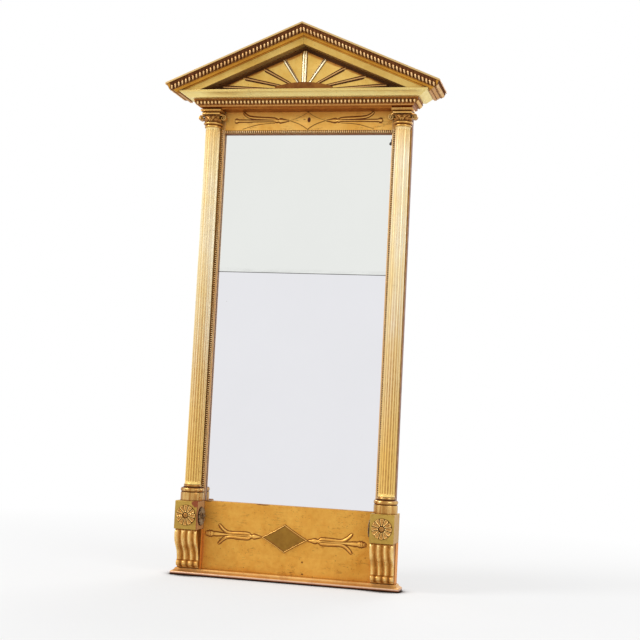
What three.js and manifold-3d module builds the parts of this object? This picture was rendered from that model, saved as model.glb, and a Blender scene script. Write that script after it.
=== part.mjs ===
// A gilded pier mirror: a tall frame in the form of a small temple front.
// Units are millimetres. X runs to the right, Z up, and the front faces -Y.
// Sizes are worked in (x, depth, z), where depth is the distance forward of the back plane.

import * as THREE from 'three';
import { mergeVertices } from 'three/addons/utils/BufferGeometryUtils.js';
import Module from 'manifold-3d';

const wasm = await Module();
wasm.setup();

// ---------------------------------------------------------------- driving dimensions

const gap = 0.3; // left between pieces that touch
const reach = 2000; // longer than any piece, for cutting blocks

const sight = { width: 570, height: 1221.6, lowerPlate: 758.6 }; // the opening that shows glass
const glass = { thickness: 3, lap: 6, play: 1 }; // lap: how far a plate runs behind its frame
const stile = { width: 65, rebate: 14, lip: 12 };
const backboard = { thickness: 7.4, count: 3 };

const post = { inset: 37.5 }; // from the edge of the sight to the centre line of a column
const pedestal = { height: 151, width: 78, depth: 44 };
const block = { height: 91.1, depth: 94.8 };
const basePanel = { thickness: 13.7 };
const baseMoulding = {
  // how far it stands out, and height above the floor
  outline: [[14.2, 0], [17, 1.5], [17.7, 4], [17.7, 10], [16, 12], [11.5, 13.5], [7, 17], [4.5, 22]],
};

const column = { depth: 42, footRadius: 26.5, neckRadius: 23.8, flutes: 18, fluteDepth: 2.4, fluteStop: 7 };
// radius and height of the turned outline under a column
const columnBase = [
  [38.2, 0], [38.2, 26], [35.5, 26.6], [35.5, 28], [37.6, 29.6], [38.8, 34.5], [37.6, 39.4], [35.5, 41],
  [31, 41.6], [31, 43.4], [28.8, 44.4], [29.6, 48], [28.8, 51.6],
];
const capital = {
  height: 58.7,
  // radii below, half widths above
  neck: 26, astragal: 32, abacus: 30.5, impost: 35,
  // how far each level lies under the top
  bellFoot: 40, abacusFoot: 17.5, abacusHead: 11, impostFoot: 7,
  voluteRadius: 9, voluteReach: 38, voluteDepth: 16,
};

const bead = { width: 9, height: 4.8, lip: 2 }; // lip: plain edge left beside the beads
const frieze = { height: 74, beadRise: 5 };
const bed = {
  depth: 68,
  // how far it stands out from its foot, and height
  outline: [
    [0, 0], [1.5, 2], [5, 4.5], [10, 6.5], [11, 7], [11, 13], [14.5, 13.5], [19, 17], [23, 21.5], [26.5, 27],
    [28, 29.7],
  ],
};
const corona = {
  sideSetBack: 40.5, frontSetBack: 26.5, // from the edges of the pediment above
  // inset from the front edge, and height above the soffit
  outline: [[24.5, 0], [6.5, 12], [2.5, 12.5], [2.5, 14], [0, 14.6], [0, 19.4]],
};
const pediment = { overhang: 104, rise: 194, eaveLift: 18.6, depth: 165 };
const rakingBoard = { thickness: 20.4 };
const rakingMoulding = {
  height: 38.6, body: 70,
  // distance forward of the raking board's edge, and height square to the slope
  outline: [
    [0.5, 0.3], [0.5, 3.5], [4, 4.5], [7, 8], [10, 11], [12, 12], [17, 15], [22, 21], [25.5, 28], [27, 32.5],
    [32, 33],
  ],
};
const tympanum = { thickness: 12, setBack: 35 };
const fan = {
  ribs: 4, // on each side of the middle one
  edge: 14, // from the raking board down to the ribs' ends
  spacing: 69.5, scallop: 4, plate: 5, ribHeight: 7, ribWidth: 9, keyRibWidth: 14, hubEnd: 3,
};
const hub = { halfWidth: 96, height: 29, sagitta: 15, thickness: 11 };

const rosette = { radius: 30.5, sideRadius: 28, petals: 12, height: 5.5, boss: 9 };
// shares of a rosette's radius and height, from its rim inwards
const petalProfile = [[1, 0], [1, 0.45], [0.8, 1], [0.42, 0.4]];
// the same for its boss, with shares of the boss's radius
const bossProfile = [[1, 0.45], [0.8, 0.95]];
const consoleScroll = {
  sideInset: 2, flutes: 3, fluteDepth: 5, footLift: 4.35, // footLift: above the base moulding
  // depth and drop of the front edge, from the top of the scroll down to its foot;
  // the drops are stretched to the height between pedestal top and base moulding
  front: [
    [82, 0], [88, 4], [91.5, 14], [92, 26], [88, 38], [80, 50], [70, 61], [62, 73], [58, 86], [57, 98],
    [60, 105], [62, 112], [60, 119], [54, 124.5],
  ],
};
const ornament = { height: 5, clearance: 1 };
// one curved blade of a spear: share of the way from fork to tip, and distance from the shaft
const bladeEdge = { outer: [[-0.2, 0], [0.35, 8], [0.75, 15]], inner: [[0.7, 8], [0.3, 1.5], [-0.06, 0]] };
const bladeTip = { along: 0.9, width: 10 };
// the upper lozenge fills the frieze from the beads to the moulding above
const upperLozenge = { halfWidth: 62.5, waist: 0.82 };
const lowerLozenge = { halfWidth: 77.5, halfHeight: 45.5, waist: 0.9, rise: 137.5, shift: -6 };
// toNode runs from the lozenge; margin runs from the far end to the edge of the panel;
// forkBack and tipBack run back from the far end
const upperSpear = {
  toNode: 31.5, forkBack: 134, tipBack: 30, tipRise: 28, margin: 35, shaftWidth: 6, knob: 5.5, lowerBlade: false,
};
const lowerSpear = {
  toNode: 19.5, forkBack: 110, tipBack: 50, tipRise: 29, margin: 6.5, shaftWidth: 7, knob: 8, lowerBlade: true,
};

const hanger = {
  drop: 74, width: 24, height: 62, plate: 1.5, wire: 4, knuckleWall: 1.5,
  ringWidth: 40, ringHeight: 38, screwRadius: 1.8, screwHead: 4, screwLength: 15, screwDrop: 50,
};

// ---------------------------------------------------------------- places worked out from them

const halfSight = sight.width / 2;
const postX = halfSight + post.inset;
const stileFace = stile.rebate + stile.lip;
const stileOuter = halfSight + stile.width;
const rebateX = halfSight + glass.lap + glass.play; // the rebate's wall, clear of the plate's edge
const pedestalInner = postX - pedestal.width / 2;
const pedestalOuter = postX + pedestal.width / 2;
const panelBack = stile.rebate + gap;
const panelFace = panelBack + basePanel.thickness;
const plinthTop = baseMoulding.outline.at(-1)[1];

const blockZ = pedestal.height + gap;
const sillZ = blockZ + block.height;
const headZ = sillZ + sight.height;
const bedZ = headZ + frieze.height;
const coronaZ = bedZ + bed.outline.at(-1)[1] + gap;
const coronaTop = coronaZ + corona.outline.at(-1)[1];

const pedimentHalf = stileOuter + pediment.overhang;
const coronaHalf = pedimentHalf - corona.sideSetBack;
const coronaDepth = pediment.depth - corona.frontSetBack;
const rakingBoardDepth = pediment.depth - rakingMoulding.outline.at(-1)[0];
const slope = pediment.rise / pedimentHalf;
const slopeAngle = Math.atan(slope);
const plumb = (thickness) => thickness / Math.cos(slopeAngle); // upright height of a sloping thickness
const apexZ = coronaTop + pediment.eaveLift + pediment.rise;
const boardApex = apexZ - plumb(rakingMoulding.height);
const soffitApex = boardApex - plumb(rakingBoard.thickness);

const hangerZ = headZ - hanger.drop;
const knuckleRadius = hanger.wire / 2 + gap + hanger.knuckleWall;
const hangerReach = gap + 2 * knuckleRadius;
const centreShift = (pediment.depth - hangerReach) / 2; // brings the origin under the middle of the box

// ---------------------------------------------------------------- finishes

const finishes = {
  brightGold: { color: 0xe0bd6a, roughness: 0.38, metalness: 0.85 },
  warmGold: { color: 0xc9964a, roughness: 0.45, metalness: 0.8 },
  oliveGold: { color: 0xa8904e, roughness: 0.5, metalness: 0.75 },
  boleRed: { color: 0x8f5a3a, roughness: 0.6, metalness: 0.4 },
  pine: { color: 0xa9855a, roughness: 0.8, metalness: 0 },
  silvered: { color: 0xe6e8ea, roughness: 0.05, metalness: 1 },
  iron: { color: 0x4a4643, roughness: 0.55, metalness: 0.9 },
};

const model = new THREE.Group();
model.position.y = centreShift;

function place(name, geometry, finish) {
  const mesh = new THREE.Mesh(geometry, new THREE.MeshStandardMaterial(finishes[finish]));
  mesh.name = name;
  model.add(mesh);
}

// ---------------------------------------------------------------- shape helpers

function shapeOf(points) {
  return new THREE.Shape(points.map(([u, v]) => new THREE.Vector2(u, v)));
}

// plan outline in (x, depth), raised from one level to another
function alongZ(points, low, high) {
  const outline = shapeOf(points.map(([x, depth]) => [x, -depth]));
  return new THREE.ExtrudeGeometry(outline, { depth: high - low, bevelEnabled: false }).translate(0, 0, low);
}

// front outline in (x, z), run forward from one depth to another
function alongY(outline, near, far, options = {}) {
  const shape = Array.isArray(outline) ? shapeOf(outline) : outline;
  const geometry = new THREE.ExtrudeGeometry(shape, { depth: far - near, bevelEnabled: false, ...options });
  return geometry.rotateX(Math.PI / 2).translate(0, -near, 0);
}

// section in (depth, z), run from left to right
function alongX(points, left, right) {
  const geometry = new THREE.ExtrudeGeometry(shapeOf(points), { depth: right - left, bevelEnabled: false });
  return geometry.rotateX(Math.PI / 2).rotateZ(-Math.PI / 2).translate(right, 0, 0);
}

function box(left, right, near, far, low, high) {
  return alongZ([[left, near], [right, near], [right, far], [left, far]], low, high);
}

// closed rings of [x, y, z], skinned from the first to the last; cap is the ring's outline
// in two dimensions, or null where the last ring meets the first
function loft(rings, cap) {
  const count = rings[0].length;
  const corners = rings.flat(2);
  const faces = [];
  for (let ring = 0; ring < rings.length - 1; ring += 1) {
    for (let side = 0; side < count; side += 1) {
      const a = ring * count + side;
      const b = ring * count + ((side + 1) % count);
      faces.push(a, b, b + count, a, b + count, a + count);
    }
  }
  const last = (rings.length - 1) * count;
  const flat = cap ? cap.map(([u, v]) => new THREE.Vector2(u, v)) : [];
  for (const [a, b, c] of cap ? THREE.ShapeUtils.triangulateShape(flat, []) : []) {
    faces.push(c, b, a, last + a, last + b, last + c);
  }
  const geometry = new THREE.BufferGeometry();
  geometry.setAttribute('position', new THREE.Float32BufferAttribute(corners, 3));
  geometry.setIndex(faces);
  return geometry;
}

// radius and height, turned about an upright axis
function turned(points, segments) {
  const profile = [[0, points[0][1]], ...points, [0, points.at(-1)[1]]];
  const outline = profile.map(([r, z]) => new THREE.Vector2(r, z));
  return new THREE.LatheGeometry(outline, segments).rotateX(Math.PI / 2);
}

// the same shape with only its positions, and its shared vertices merged
function merged(geometry) {
  const bare = geometry.clone();
  bare.deleteAttribute('normal');
  bare.deleteAttribute('uv');
  return mergeVertices(bare, 1e-4);
}

function toSolid(geometry) {
  const plain = merged(geometry);
  const vertProperties = Float32Array.from(plain.attributes.position.array);
  const triVerts = Uint32Array.from(plain.index.array);
  return new wasm.Manifold(new wasm.Mesh({ numProp: 3, vertProperties, triVerts }));
}

function toGeometry(solid) {
  const { vertProperties, triVerts } = solid.getMesh();
  const geometry = new THREE.BufferGeometry();
  geometry.setAttribute('position', new THREE.Float32BufferAttribute(vertProperties, 3));
  geometry.setIndex(Array.from(triVerts));
  return geometry;
}

function join(...geometries) {
  return toGeometry(geometries.map(toSolid).reduce((whole, piece) => whole.add(piece)));
}

function cut(geometry, ...tools) {
  return toGeometry(tools.map(toSolid).reduce((whole, tool) => whole.subtract(tool), toSolid(geometry)));
}

function common(geometry, other) {
  return toGeometry(toSolid(geometry).intersect(toSolid(other)));
}

// the same piece on the other side: a mirror image with its faces turned the right way out
function mirrored(geometry) {
  const plain = merged(geometry).scale(-1, 1, 1);
  const order = Array.from(plain.index.array);
  for (let corner = 0; corner < order.length; corner += 3) {
    [order[corner], order[corner + 1]] = [order[corner + 1], order[corner]];
  }
  plain.setIndex(order);
  return plain;
}

// a piece modelled on the right, and its twin on the left
function placePair(name, geometry, finish) {
  place(`right_${name}`, geometry, finish);
  place(`left_${name}`, mirrored(geometry), finish);
}

// ---------------------------------------------------------------- carcass, glass and back

// plan of an upright member: full depth outside, a front lip over the glass inside
function rebatedPlan(lipX, outerX, face) {
  return [[rebateX, 0], [outerX, 0], [outerX, face], [lipX, face], [lipX, panelBack], [rebateX, panelBack]];
}

function buildStiles() {
  const upright = alongZ(rebatedPlan(halfSight, stileOuter, stileFace), sillZ + gap, coronaZ - gap);
  placePair('stile', cut(upright, screwHole(gap, hanger.screwLength)), 'pine');
}

function buildRailsAndGlass() {
  const railX = rebateX - gap;
  const glassTop = headZ + glass.lap;
  const glassFoot = sillZ - glass.lap;
  place('top_rail', box(-railX, railX, 0, stile.rebate, glassTop + gap, coronaZ - gap), 'pine');
  place('bottom_rail', box(-railX, railX, 0, stile.rebate, 0, glassFoot - gap), 'pine');

  const friezeX = halfSight - gap;
  place('frieze_panel', box(-friezeX, friezeX, panelBack, stileFace, headZ, coronaZ - gap), 'warmGold');

  const plateX = halfSight + glass.lap;
  const glassBack = stile.rebate - glass.thickness;
  const jointZ = sillZ + sight.lowerPlate;
  const plate = (low, high) => box(-plateX, plateX, glassBack, stile.rebate, low, high);
  place('lower_mirror_plate', plate(glassFoot, jointZ), 'silvered');
  place('upper_mirror_plate', plate(jointZ + gap, glassTop), 'silvered');

  const boardFront = glassBack - gap;
  const boardBack = boardFront - backboard.thickness;
  const boardHeight = (glassTop - glassFoot) / backboard.count;
  for (let index = 0; index < backboard.count; index += 1) {
    const low = glassFoot + index * boardHeight;
    const board = box(-railX, railX, boardBack, boardFront, low, low + boardHeight - gap);
    place(`backboard_${index + 1}`, board, 'pine');
  }
}

// ---------------------------------------------------------------- base

function buildPedestals() {
  const footPlan = rebatedPlan(pedestalInner, pedestalOuter, pedestal.depth);
  placePair('pedestal', alongZ(footPlan, 0, pedestal.height), 'warmGold');
  const blockPlan = rebatedPlan(pedestalInner, pedestalOuter, block.depth);
  placePair('plinth_block', alongZ(blockPlan, blockZ, sillZ), 'oliveGold');

  const panelX = pedestalInner - gap;
  place('base_panel', box(-panelX, panelX, panelBack, panelFace, 0, sillZ), 'warmGold');
  place('plinth_rail', box(-panelX, panelX, panelFace + gap, pedestal.depth, 0, plinthTop), 'warmGold');
}

// a moulding that runs along the front and returns along both sides, mitred at the corners;
// section points are [stand-out, height], measured from an edge at (edgeX, edgeDepth)
function returnedMoulding(name, section, { edgeX, edgeDepth, backDepth, baseZ, finish }) {
  const topZ = baseZ + section.at(-1)[1];
  const frontSection = section.map(([out, rise]) => [edgeDepth + out, baseZ + rise]);
  const frontRun = alongX([...frontSection, [backDepth, topZ], [backDepth, baseZ]], -reach, reach);
  const far = Math.max(...section.map(([out]) => out)) + 1;
  const frontPlan = [
    [-edgeX, backDepth], [edgeX, backDepth], [edgeX, edgeDepth],
    [edgeX + far, edgeDepth + far], [-edgeX - far, edgeDepth + far], [-edgeX, edgeDepth],
  ];
  place(`${name}_front`, common(frontRun, alongZ(frontPlan, baseZ - 1, topZ + 1)), finish);

  const sideX = edgeX + gap;
  const sideCurve = section.filter(([out]) => out > gap).map(([out, rise]) => [edgeX + out, baseZ + rise]);
  const sideRun = alongY([[sideX, baseZ], ...sideCurve, [sideX, topZ]], 0, edgeDepth + far);
  const sidePlan = [
    [sideX, 0], [edgeX + far, 0], [edgeX + far, edgeDepth + far - 2 * gap], [sideX, edgeDepth - gap],
  ];
  placePair(`${name}_return`, common(sideRun, alongZ(sidePlan, baseZ - 1, topZ + 1)), finish);
}

function buildBaseMoulding() {
  returnedMoulding('base_moulding', baseMoulding.outline, {
    edgeX: pedestalOuter,
    edgeDepth: pedestal.depth,
    backDepth: pedestal.depth + gap,
    baseZ: 0,
    finish: 'boleRed',
  });
}

// a flower in low relief, modelled flat: radius outwards, height forward
function rosetteRelief(radius) {
  const steps = rosette.petals * 4;
  const levels = [
    ...petalProfile.map(([share, rise]) => ({ r: radius * share, rise, petalled: share > 0.5 })),
    ...bossProfile.map(([share, rise]) => ({ r: rosette.boss * share, rise, petalled: false })),
  ];
  const outline = levels.map(({ r, rise, petalled }) => Array.from({ length: steps }, (_, step) => {
    const turn = (step / steps) * 2 * Math.PI;
    const petal = petalled ? Math.abs(Math.cos((turn * rosette.petals) / 2)) : 1;
    const out = r * (0.86 + 0.14 * petal) ** Number(petalled);
    return [out * Math.cos(turn), out * Math.sin(turn), rosette.height * rise * (0.35 + 0.65 * petal)];
  }));
  return loft(outline, outline[0]);
}

function buildRosettes() {
  const middleZ = blockZ + block.height / 2;
  const facing = rosetteRelief(rosette.radius).rotateX(Math.PI / 2);
  placePair('front_rosette', facing.translate(postX, -(block.depth + gap), middleZ), 'brightGold');
  const sideDepth = (panelFace + block.depth) / 2;
  const inward = rosetteRelief(rosette.sideRadius).rotateY(-Math.PI / 2);
  placePair('side_rosette', inward.translate(pedestalInner - gap, -sideDepth, middleZ), 'oliveGold');
}

function buildConsoles() {
  const back = pedestal.depth + gap;
  const top = pedestal.height - gap / 2;
  const foot = plinthTop + consoleScroll.footLift;
  const stretch = (top - foot) / consoleScroll.front.at(-1)[1];
  const curve = consoleScroll.front.map(([depth, drop]) => new THREE.Vector2(depth, top - drop * stretch));
  const smooth = new THREE.SplineCurve(curve).getPoints(26).map(({ x, y }) => [x, y]);
  const left = pedestalInner + consoleScroll.sideInset;
  const width = pedestal.width - 2 * consoleScroll.sideInset;
  const stations = consoleScroll.flutes * 4;
  const rings = [];
  for (let station = 0; station <= stations; station += 1) {
    const across = station / stations;
    const wave = 0.5 * (1 - Math.cos(across * consoleScroll.flutes * 2 * Math.PI));
    const sunk = consoleScroll.fluteDepth * wave;
    const x = left + across * width;
    const section = smooth.map(([depth, z]) => [x, -(depth - sunk * Math.min(1, (depth - back) / 20)), z]);
    const [, , footZ] = section.at(-1);
    rings.push([...section, [x, -back, footZ], [x, -back, top]]);
  }
  const cap = rings[0].map(([, y, z]) => [y, z]);
  placePair('console', loft(rings, cap), 'brightGold');
}

// ---------------------------------------------------------------- columns

const columnFootZ = sillZ + gap;
const shaftFootZ = columnFootZ + columnBase.at(-1)[1] + gap;
const capitalZ = bedZ - gap - capital.height;

// everything behind the face of the stile
function behindStile() {
  return box(-reach, reach, -reach, stileFace + gap, -reach, 2 * reach);
}

function onPost(geometry) {
  return geometry.translate(postX, -column.depth, 0);
}

function flutedRing(radius, sunk, z) {
  const perFlute = 4;
  const steps = column.flutes * perFlute;
  return Array.from({ length: steps }, (_, step) => {
    const turn = (step / steps) * 2 * Math.PI;
    const inFlute = Math.sin(((step % perFlute) / perFlute) * Math.PI);
    const r = radius - sunk * inFlute;
    return [r * Math.cos(turn), r * Math.sin(turn), z];
  });
}

function buildShafts() {
  const top = capitalZ - gap;
  const { footRadius, neckRadius, fluteDepth, fluteStop } = column;
  const rings = [
    flutedRing(footRadius, 0, shaftFootZ),
    flutedRing(footRadius, 0, shaftFootZ + fluteStop),
    flutedRing(footRadius, fluteDepth, shaftFootZ + 1.6 * fluteStop),
    flutedRing(neckRadius, fluteDepth, top - 1.6 * fluteStop),
    flutedRing(neckRadius, 0, top - fluteStop),
    flutedRing(neckRadius, 0, top),
  ];
  placePair('column_shaft', cut(onPost(loft(rings, rings[0])), behindStile()), 'brightGold');
}

function buildColumnBases() {
  const footing = onPost(turned(columnBase, 36).translate(0, 0, columnFootZ));
  const strip = beadStripBox(-reach, reach, gap);
  placePair('column_base', cut(footing, behindStile(), strip), 'brightGold');
}

function squareRing(half, z, rounding, steps = 24) {
  return Array.from({ length: steps }, (_, step) => {
    const turn = ((step + 0.5) / steps) * 2 * Math.PI;
    const square = 1 / Math.max(Math.abs(Math.cos(turn)), Math.abs(Math.sin(turn)));
    const r = half * (rounding + (1 - rounding) * square);
    return [r * Math.cos(turn), r * Math.sin(turn), z];
  });
}

function buildCapitals() {
  const top = capitalZ + capital.height;
  const { neck, astragal, abacus, impost, voluteRadius, voluteReach, voluteDepth } = capital;
  const bellFoot = top - capital.bellFoot;
  const abacusFoot = top - capital.abacusFoot;
  const abacusHead = top - capital.abacusHead;
  const impostFoot = top - capital.impostFoot;
  const collar = turned([
    [neck - 1.5, capitalZ], [neck, capitalZ + 2], [neck, capitalZ + 5], [neck - 2.5, capitalZ + 8],
    [neck - 1.5, bellFoot - 7], [astragal - 2, bellFoot - 6], [astragal, bellFoot - 3],
    [astragal - 2, bellFoot], [neck, bellFoot + 1],
  ], 24);
  const bell = [
    squareRing(neck - 2, bellFoot - 1, 1),
    squareRing(neck, bellFoot + 8, 0.8),
    squareRing(abacus - 2, abacusFoot + 1, 0.3),
  ];
  const slabs = [
    squareRing(abacus, abacusFoot, 0),
    squareRing(abacus, abacusHead, 0),
    squareRing(abacus - 3, abacusHead + 1, 0),
    squareRing(impost - 3, impostFoot - 0.5, 0),
    squareRing(impost, impostFoot, 0),
    squareRing(impost, top, 0),
  ];
  const pieces = [collar, loft(bell, bell[0]), loft(slabs, slabs[0])].map(onPost);

  const near = column.depth - voluteDepth / 2;
  const far = column.depth + voluteDepth / 2;
  const centreZ = abacusFoot - voluteRadius + 2;
  for (const side of [-1, 1]) {
    const x = postX + side * voluteReach;
    const scroll = new THREE.Shape();
    scroll.absarc(x, centreZ, voluteRadius, 0, 2 * Math.PI);
    const arm = [
      [postX, abacusFoot + 1], [x, abacusFoot + 1],
      [x, centreZ], [postX + side * neck * 0.7, bellFoot + 2], [postX, bellFoot + 2],
    ];
    pieces.push(alongY(scroll, near, far, { curveSegments: 10 }), alongY(arm, near + 2, far - 2));
  }
  placePair('capital', cut(join(...pieces), behindStile()), 'brightGold');
}

// ---------------------------------------------------------------- beads round the glass

function beadStripBox(low, high, clearance = 0) {
  const inner = halfSight + bead.lip - clearance;
  const outer = halfSight + bead.lip + bead.width + clearance;
  return box(inner, outer, stileFace - clearance, stileFace + gap + bead.height + clearance, low, high);
}

// half-round section in (across, forward)
function halfRound(width, height, steps = 6) {
  return Array.from({ length: steps + 1 }, (_, step) => {
    const turn = (step / steps) * Math.PI;
    return [(-width / 2) * Math.cos(turn), height * Math.sin(turn)];
  });
}

function buildBeads() {
  const middleX = halfSight + bead.lip + bead.width / 2;
  const face = stileFace + gap;
  const topLow = headZ + frieze.beadRise;
  const topHigh = topLow + bead.width;
  const upright = halfRound(bead.width, bead.height).map(([across, out]) => [middleX + across, face + out]);
  placePair('bead_strip', alongZ(upright, sillZ + gap, topHigh), 'brightGold');
  const middleZ = topLow + bead.width / 2;
  const level = halfRound(bead.width, bead.height).map(([across, out]) => [face + out, middleZ + across]);
  const endX = halfSight + bead.lip - gap;
  place('top_bead_strip', alongX(level, -endX, endX), 'brightGold');
}

// ---------------------------------------------------------------- carved ornaments

// an outline carved in low relief on a panel's face
function relief(points, face) {
  return alongY(points, face + gap, face + gap + ornament.height);
}

function buildLozenge(name, lozenge, middleX, middleZ, face) {
  const { halfWidth, halfHeight, waist } = lozenge;
  const points = [];
  for (const [signX, signZ] of [[1, 1], [-1, 1], [-1, -1], [1, -1]]) {
    const corner = signX * signZ > 0 ? [signX * halfWidth, 0] : [0, signZ * halfHeight];
    points.push(corner, [signX * halfWidth * waist * 0.5, signZ * halfHeight * waist * 0.5]);
  }
  place(name, relief(points.map(([x, z]) => [middleX + x, middleZ + z]), face), 'oliveGold');
}

// half the outline of a spear: distance from its root and half thickness, mirrored about its own line
function spindle(points) {
  return [...points, ...points.slice(1, -1).reverse().map(([along, half]) => [along, -half])];
}

function blade(spear, side) {
  const at = ([share, out]) => [spear.fork + share * (spear.tip - spear.fork), side * out];
  return [
    ...bladeEdge.outer.map(at), [spear.tip, side * spear.tipRise],
    at([bladeTip.along, spear.tipRise - bladeTip.width]), ...bladeEdge.inner.map(at),
  ];
}

// modelled to the right of a lozenge that ends at `root`, along +X to `end`
function spearRelief(sizes, root, end, face) {
  const start = root + ornament.clearance;
  const spear = { ...sizes, node: start + sizes.toNode, fork: end - sizes.forkBack, tip: end - sizes.tipBack };
  const half = spear.shaftWidth / 2;
  const shaft = spindle([
    [start, 0], [start + 4, half * 0.6], [spear.node - 9, half * 1.3], [spear.node - 4, half * 1.9],
    [spear.node + 4, half * 1.9], [spear.node + 8, half], [end - 5 * spear.knob, half * 0.9],
    [end - 2.6 * spear.knob, spear.knob * 0.75], [end - spear.knob, spear.knob], [end, 0],
  ]);
  const pieces = [relief(shaft, face), relief(blade(spear, 1), face)];
  if (spear.lowerBlade) pieces.push(relief(blade(spear, -1), face));
  return join(...pieces);
}

function buildOrnaments() {
  const beadTop = frieze.beadRise + bead.width;
  const halfHeight = (frieze.height - beadTop) / 2 - gap;
  const upperZ = headZ + (frieze.height + beadTop) / 2;
  buildLozenge('upper_lozenge', { ...upperLozenge, halfHeight }, 0, upperZ, stileFace);
  const upperEnd = halfSight - upperSpear.margin;
  const upperCarving = spearRelief(upperSpear, upperLozenge.halfWidth, upperEnd, stileFace);
  placePair('upper_spear', upperCarving.translate(0, 0, upperZ), 'warmGold');

  buildLozenge('lower_lozenge', lowerLozenge, lowerLozenge.shift, lowerLozenge.rise, panelFace);
  const lowerEnd = pedestalInner - Math.abs(lowerLozenge.shift) - lowerSpear.margin;
  const rightCarving = spearRelief(lowerSpear, lowerLozenge.halfWidth, lowerEnd, panelFace);
  const leftCarving = mirrored(rightCarving);
  place('right_lower_spear', rightCarving.translate(lowerLozenge.shift, 0, lowerLozenge.rise), 'warmGold');
  place('left_lower_spear', leftCarving.translate(lowerLozenge.shift, 0, lowerLozenge.rise), 'warmGold');
}

// ---------------------------------------------------------------- entablature and pediment

function buildBedMoulding() {
  returnedMoulding('bed_moulding', bed.outline, {
    edgeX: stileOuter,
    edgeDepth: bed.depth,
    backDepth: stileFace + gap,
    baseZ: bedZ,
    finish: 'warmGold',
  });
}

// a board whose front and side edges carry one moulded outline
function buildCorona() {
  const rings = corona.outline.map(([inset, rise]) => {
    const x = coronaHalf - inset;
    const front = -(coronaDepth - inset);
    return [[-x, 0], [-x, front], [x, front], [x, 0]].map(([px, py]) => [px, py, coronaZ + rise]);
  });
  place('corona_board', loft(rings, rings[0]), 'brightGold');
}

function coronaClearance() {
  const x = coronaHalf + gap;
  return box(-x, x, -reach, coronaDepth + gap, -reach, coronaTop + gap);
}

const boardFootX = (boardApex - coronaTop - gap) / slope;

function buildRakingBoards() {
  const foot = coronaTop + gap;
  const half = gap / 2;
  const outline = [
    [half, soffitApex - half * slope], [half, boardApex - half * slope],
    [boardFootX, foot], [(soffitApex - foot) / slope, foot],
  ];
  placePair('raking_board', alongY(outline, 0, rakingBoardDepth), 'brightGold');
}

// section of the egg moulding: depth, and height square to the slope above the raking board
function rakingSection() {
  const front = rakingMoulding.outline.map(([out, rise]) => [rakingBoardDepth + out, rise]);
  return [...front, [pediment.depth, rakingMoulding.height]];
}

const cornerOffset = pedimentHalf - pediment.depth; // the mitre runs where x less depth equals this

function buildRakingMouldings() {
  const back = pediment.depth - rakingMoulding.body;
  const section = rakingSection();
  const foot = section[0][1];
  const run = alongX([...section, [back, rakingMoulding.height], [back, foot]], -reach, reach);
  run.rotateY(slopeAngle).translate(0, 0, boardApex);
  const half = gap / 2;
  const far = pediment.depth + 1;
  const plan = [[half, back], [cornerOffset + back, back], [cornerOffset + far, far], [half, far]];
  const sloping = common(run, alongZ(plan, 0, 2 * reach));
  placePair('raking_moulding', cut(sloping, coronaClearance()), 'brightGold');
}

function buildEaveReturns() {
  const eaveZ = coronaTop + pediment.eaveLift;
  const topAt = (x) => eaveZ + slope * (pedimentHalf - x);
  const inner = boardFootX + gap;
  const outline = rakingSection().map(([depth, rise]) => {
    const x = cornerOffset + depth;
    return [x, topAt(x) - plumb(rakingMoulding.height - rise)];
  });
  const run = alongY([[inner, outline[0][1]], ...outline, [inner, topAt(inner)]], 0, pediment.depth);
  const far = pedimentHalf + 1;
  const mitreShift = cornerOffset + 2 * gap;
  const plan = [[inner, 0], [far, 0], [far, far - mitreShift], [inner, inner - mitreShift]];
  placePair('eave_return', cut(common(run, alongZ(plan, 0, 2 * reach)), coronaClearance()), 'brightGold');
}

function buildTympanum() {
  const front = rakingBoardDepth - tympanum.setBack;
  const foot = coronaTop + gap;
  const apex = soffitApex - plumb(gap);
  const half = (apex - foot) / slope;
  const outline = [[-half, foot], [half, foot], [0, apex]];
  place('tympanum_board', alongY(outline, front - tympanum.thickness, front), 'warmGold');
  return front;
}

// where the outer end of a rib lies: evenly spaced along a line under the raking boards
function ribEnd(index) {
  const x = index * fan.spacing;
  return [x, soffitApex - fan.edge - slope * Math.abs(x)];
}

// the leaves between the ribs in one outline, each leaf's outer edge drawn in a little
function fanOutline(focus) {
  const points = [focus];
  const drawnIn = ([x, z], by) => {
    const length = Math.hypot(x - focus[0], z - focus[1]);
    return [x + ((focus[0] - x) * by) / length, z + ((focus[1] - z) * by) / length];
  };
  for (let index = fan.ribs; index >= -fan.ribs; index -= 1) {
    const end = ribEnd(index);
    points.push(drawnIn(end, 1));
    if (index === -fan.ribs) break;
    const next = ribEnd(index - 1);
    points.push(drawnIn([(end[0] + next[0]) / 2, (end[1] + next[1]) / 2], fan.scallop));
  }
  return points;
}

// a tapering rib with a ridge, from the hub's focus to its outer end
function rib(index, focus, face) {
  const [x, z] = ribEnd(index);
  const [fx, fz] = focus;
  const length = Math.hypot(x - fx, z - fz);
  const across = [-(z - fz) / length, (x - fx) / length];
  const width = index === 0 ? fan.keyRibWidth : fan.ribWidth;
  const ring = (px, pz, half) => [
    [px - across[0] * half, -face, pz - across[1] * half],
    [px + across[0] * half, -face, pz + across[1] * half],
    [px, -(face + fan.ribHeight), pz],
  ];
  const rings = [ring(fx, fz, fan.hubEnd / 2), ring(x, z, width / 2)];
  return loft(rings, [[0, 0], [2, 0], [1, 1]]);
}

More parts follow.
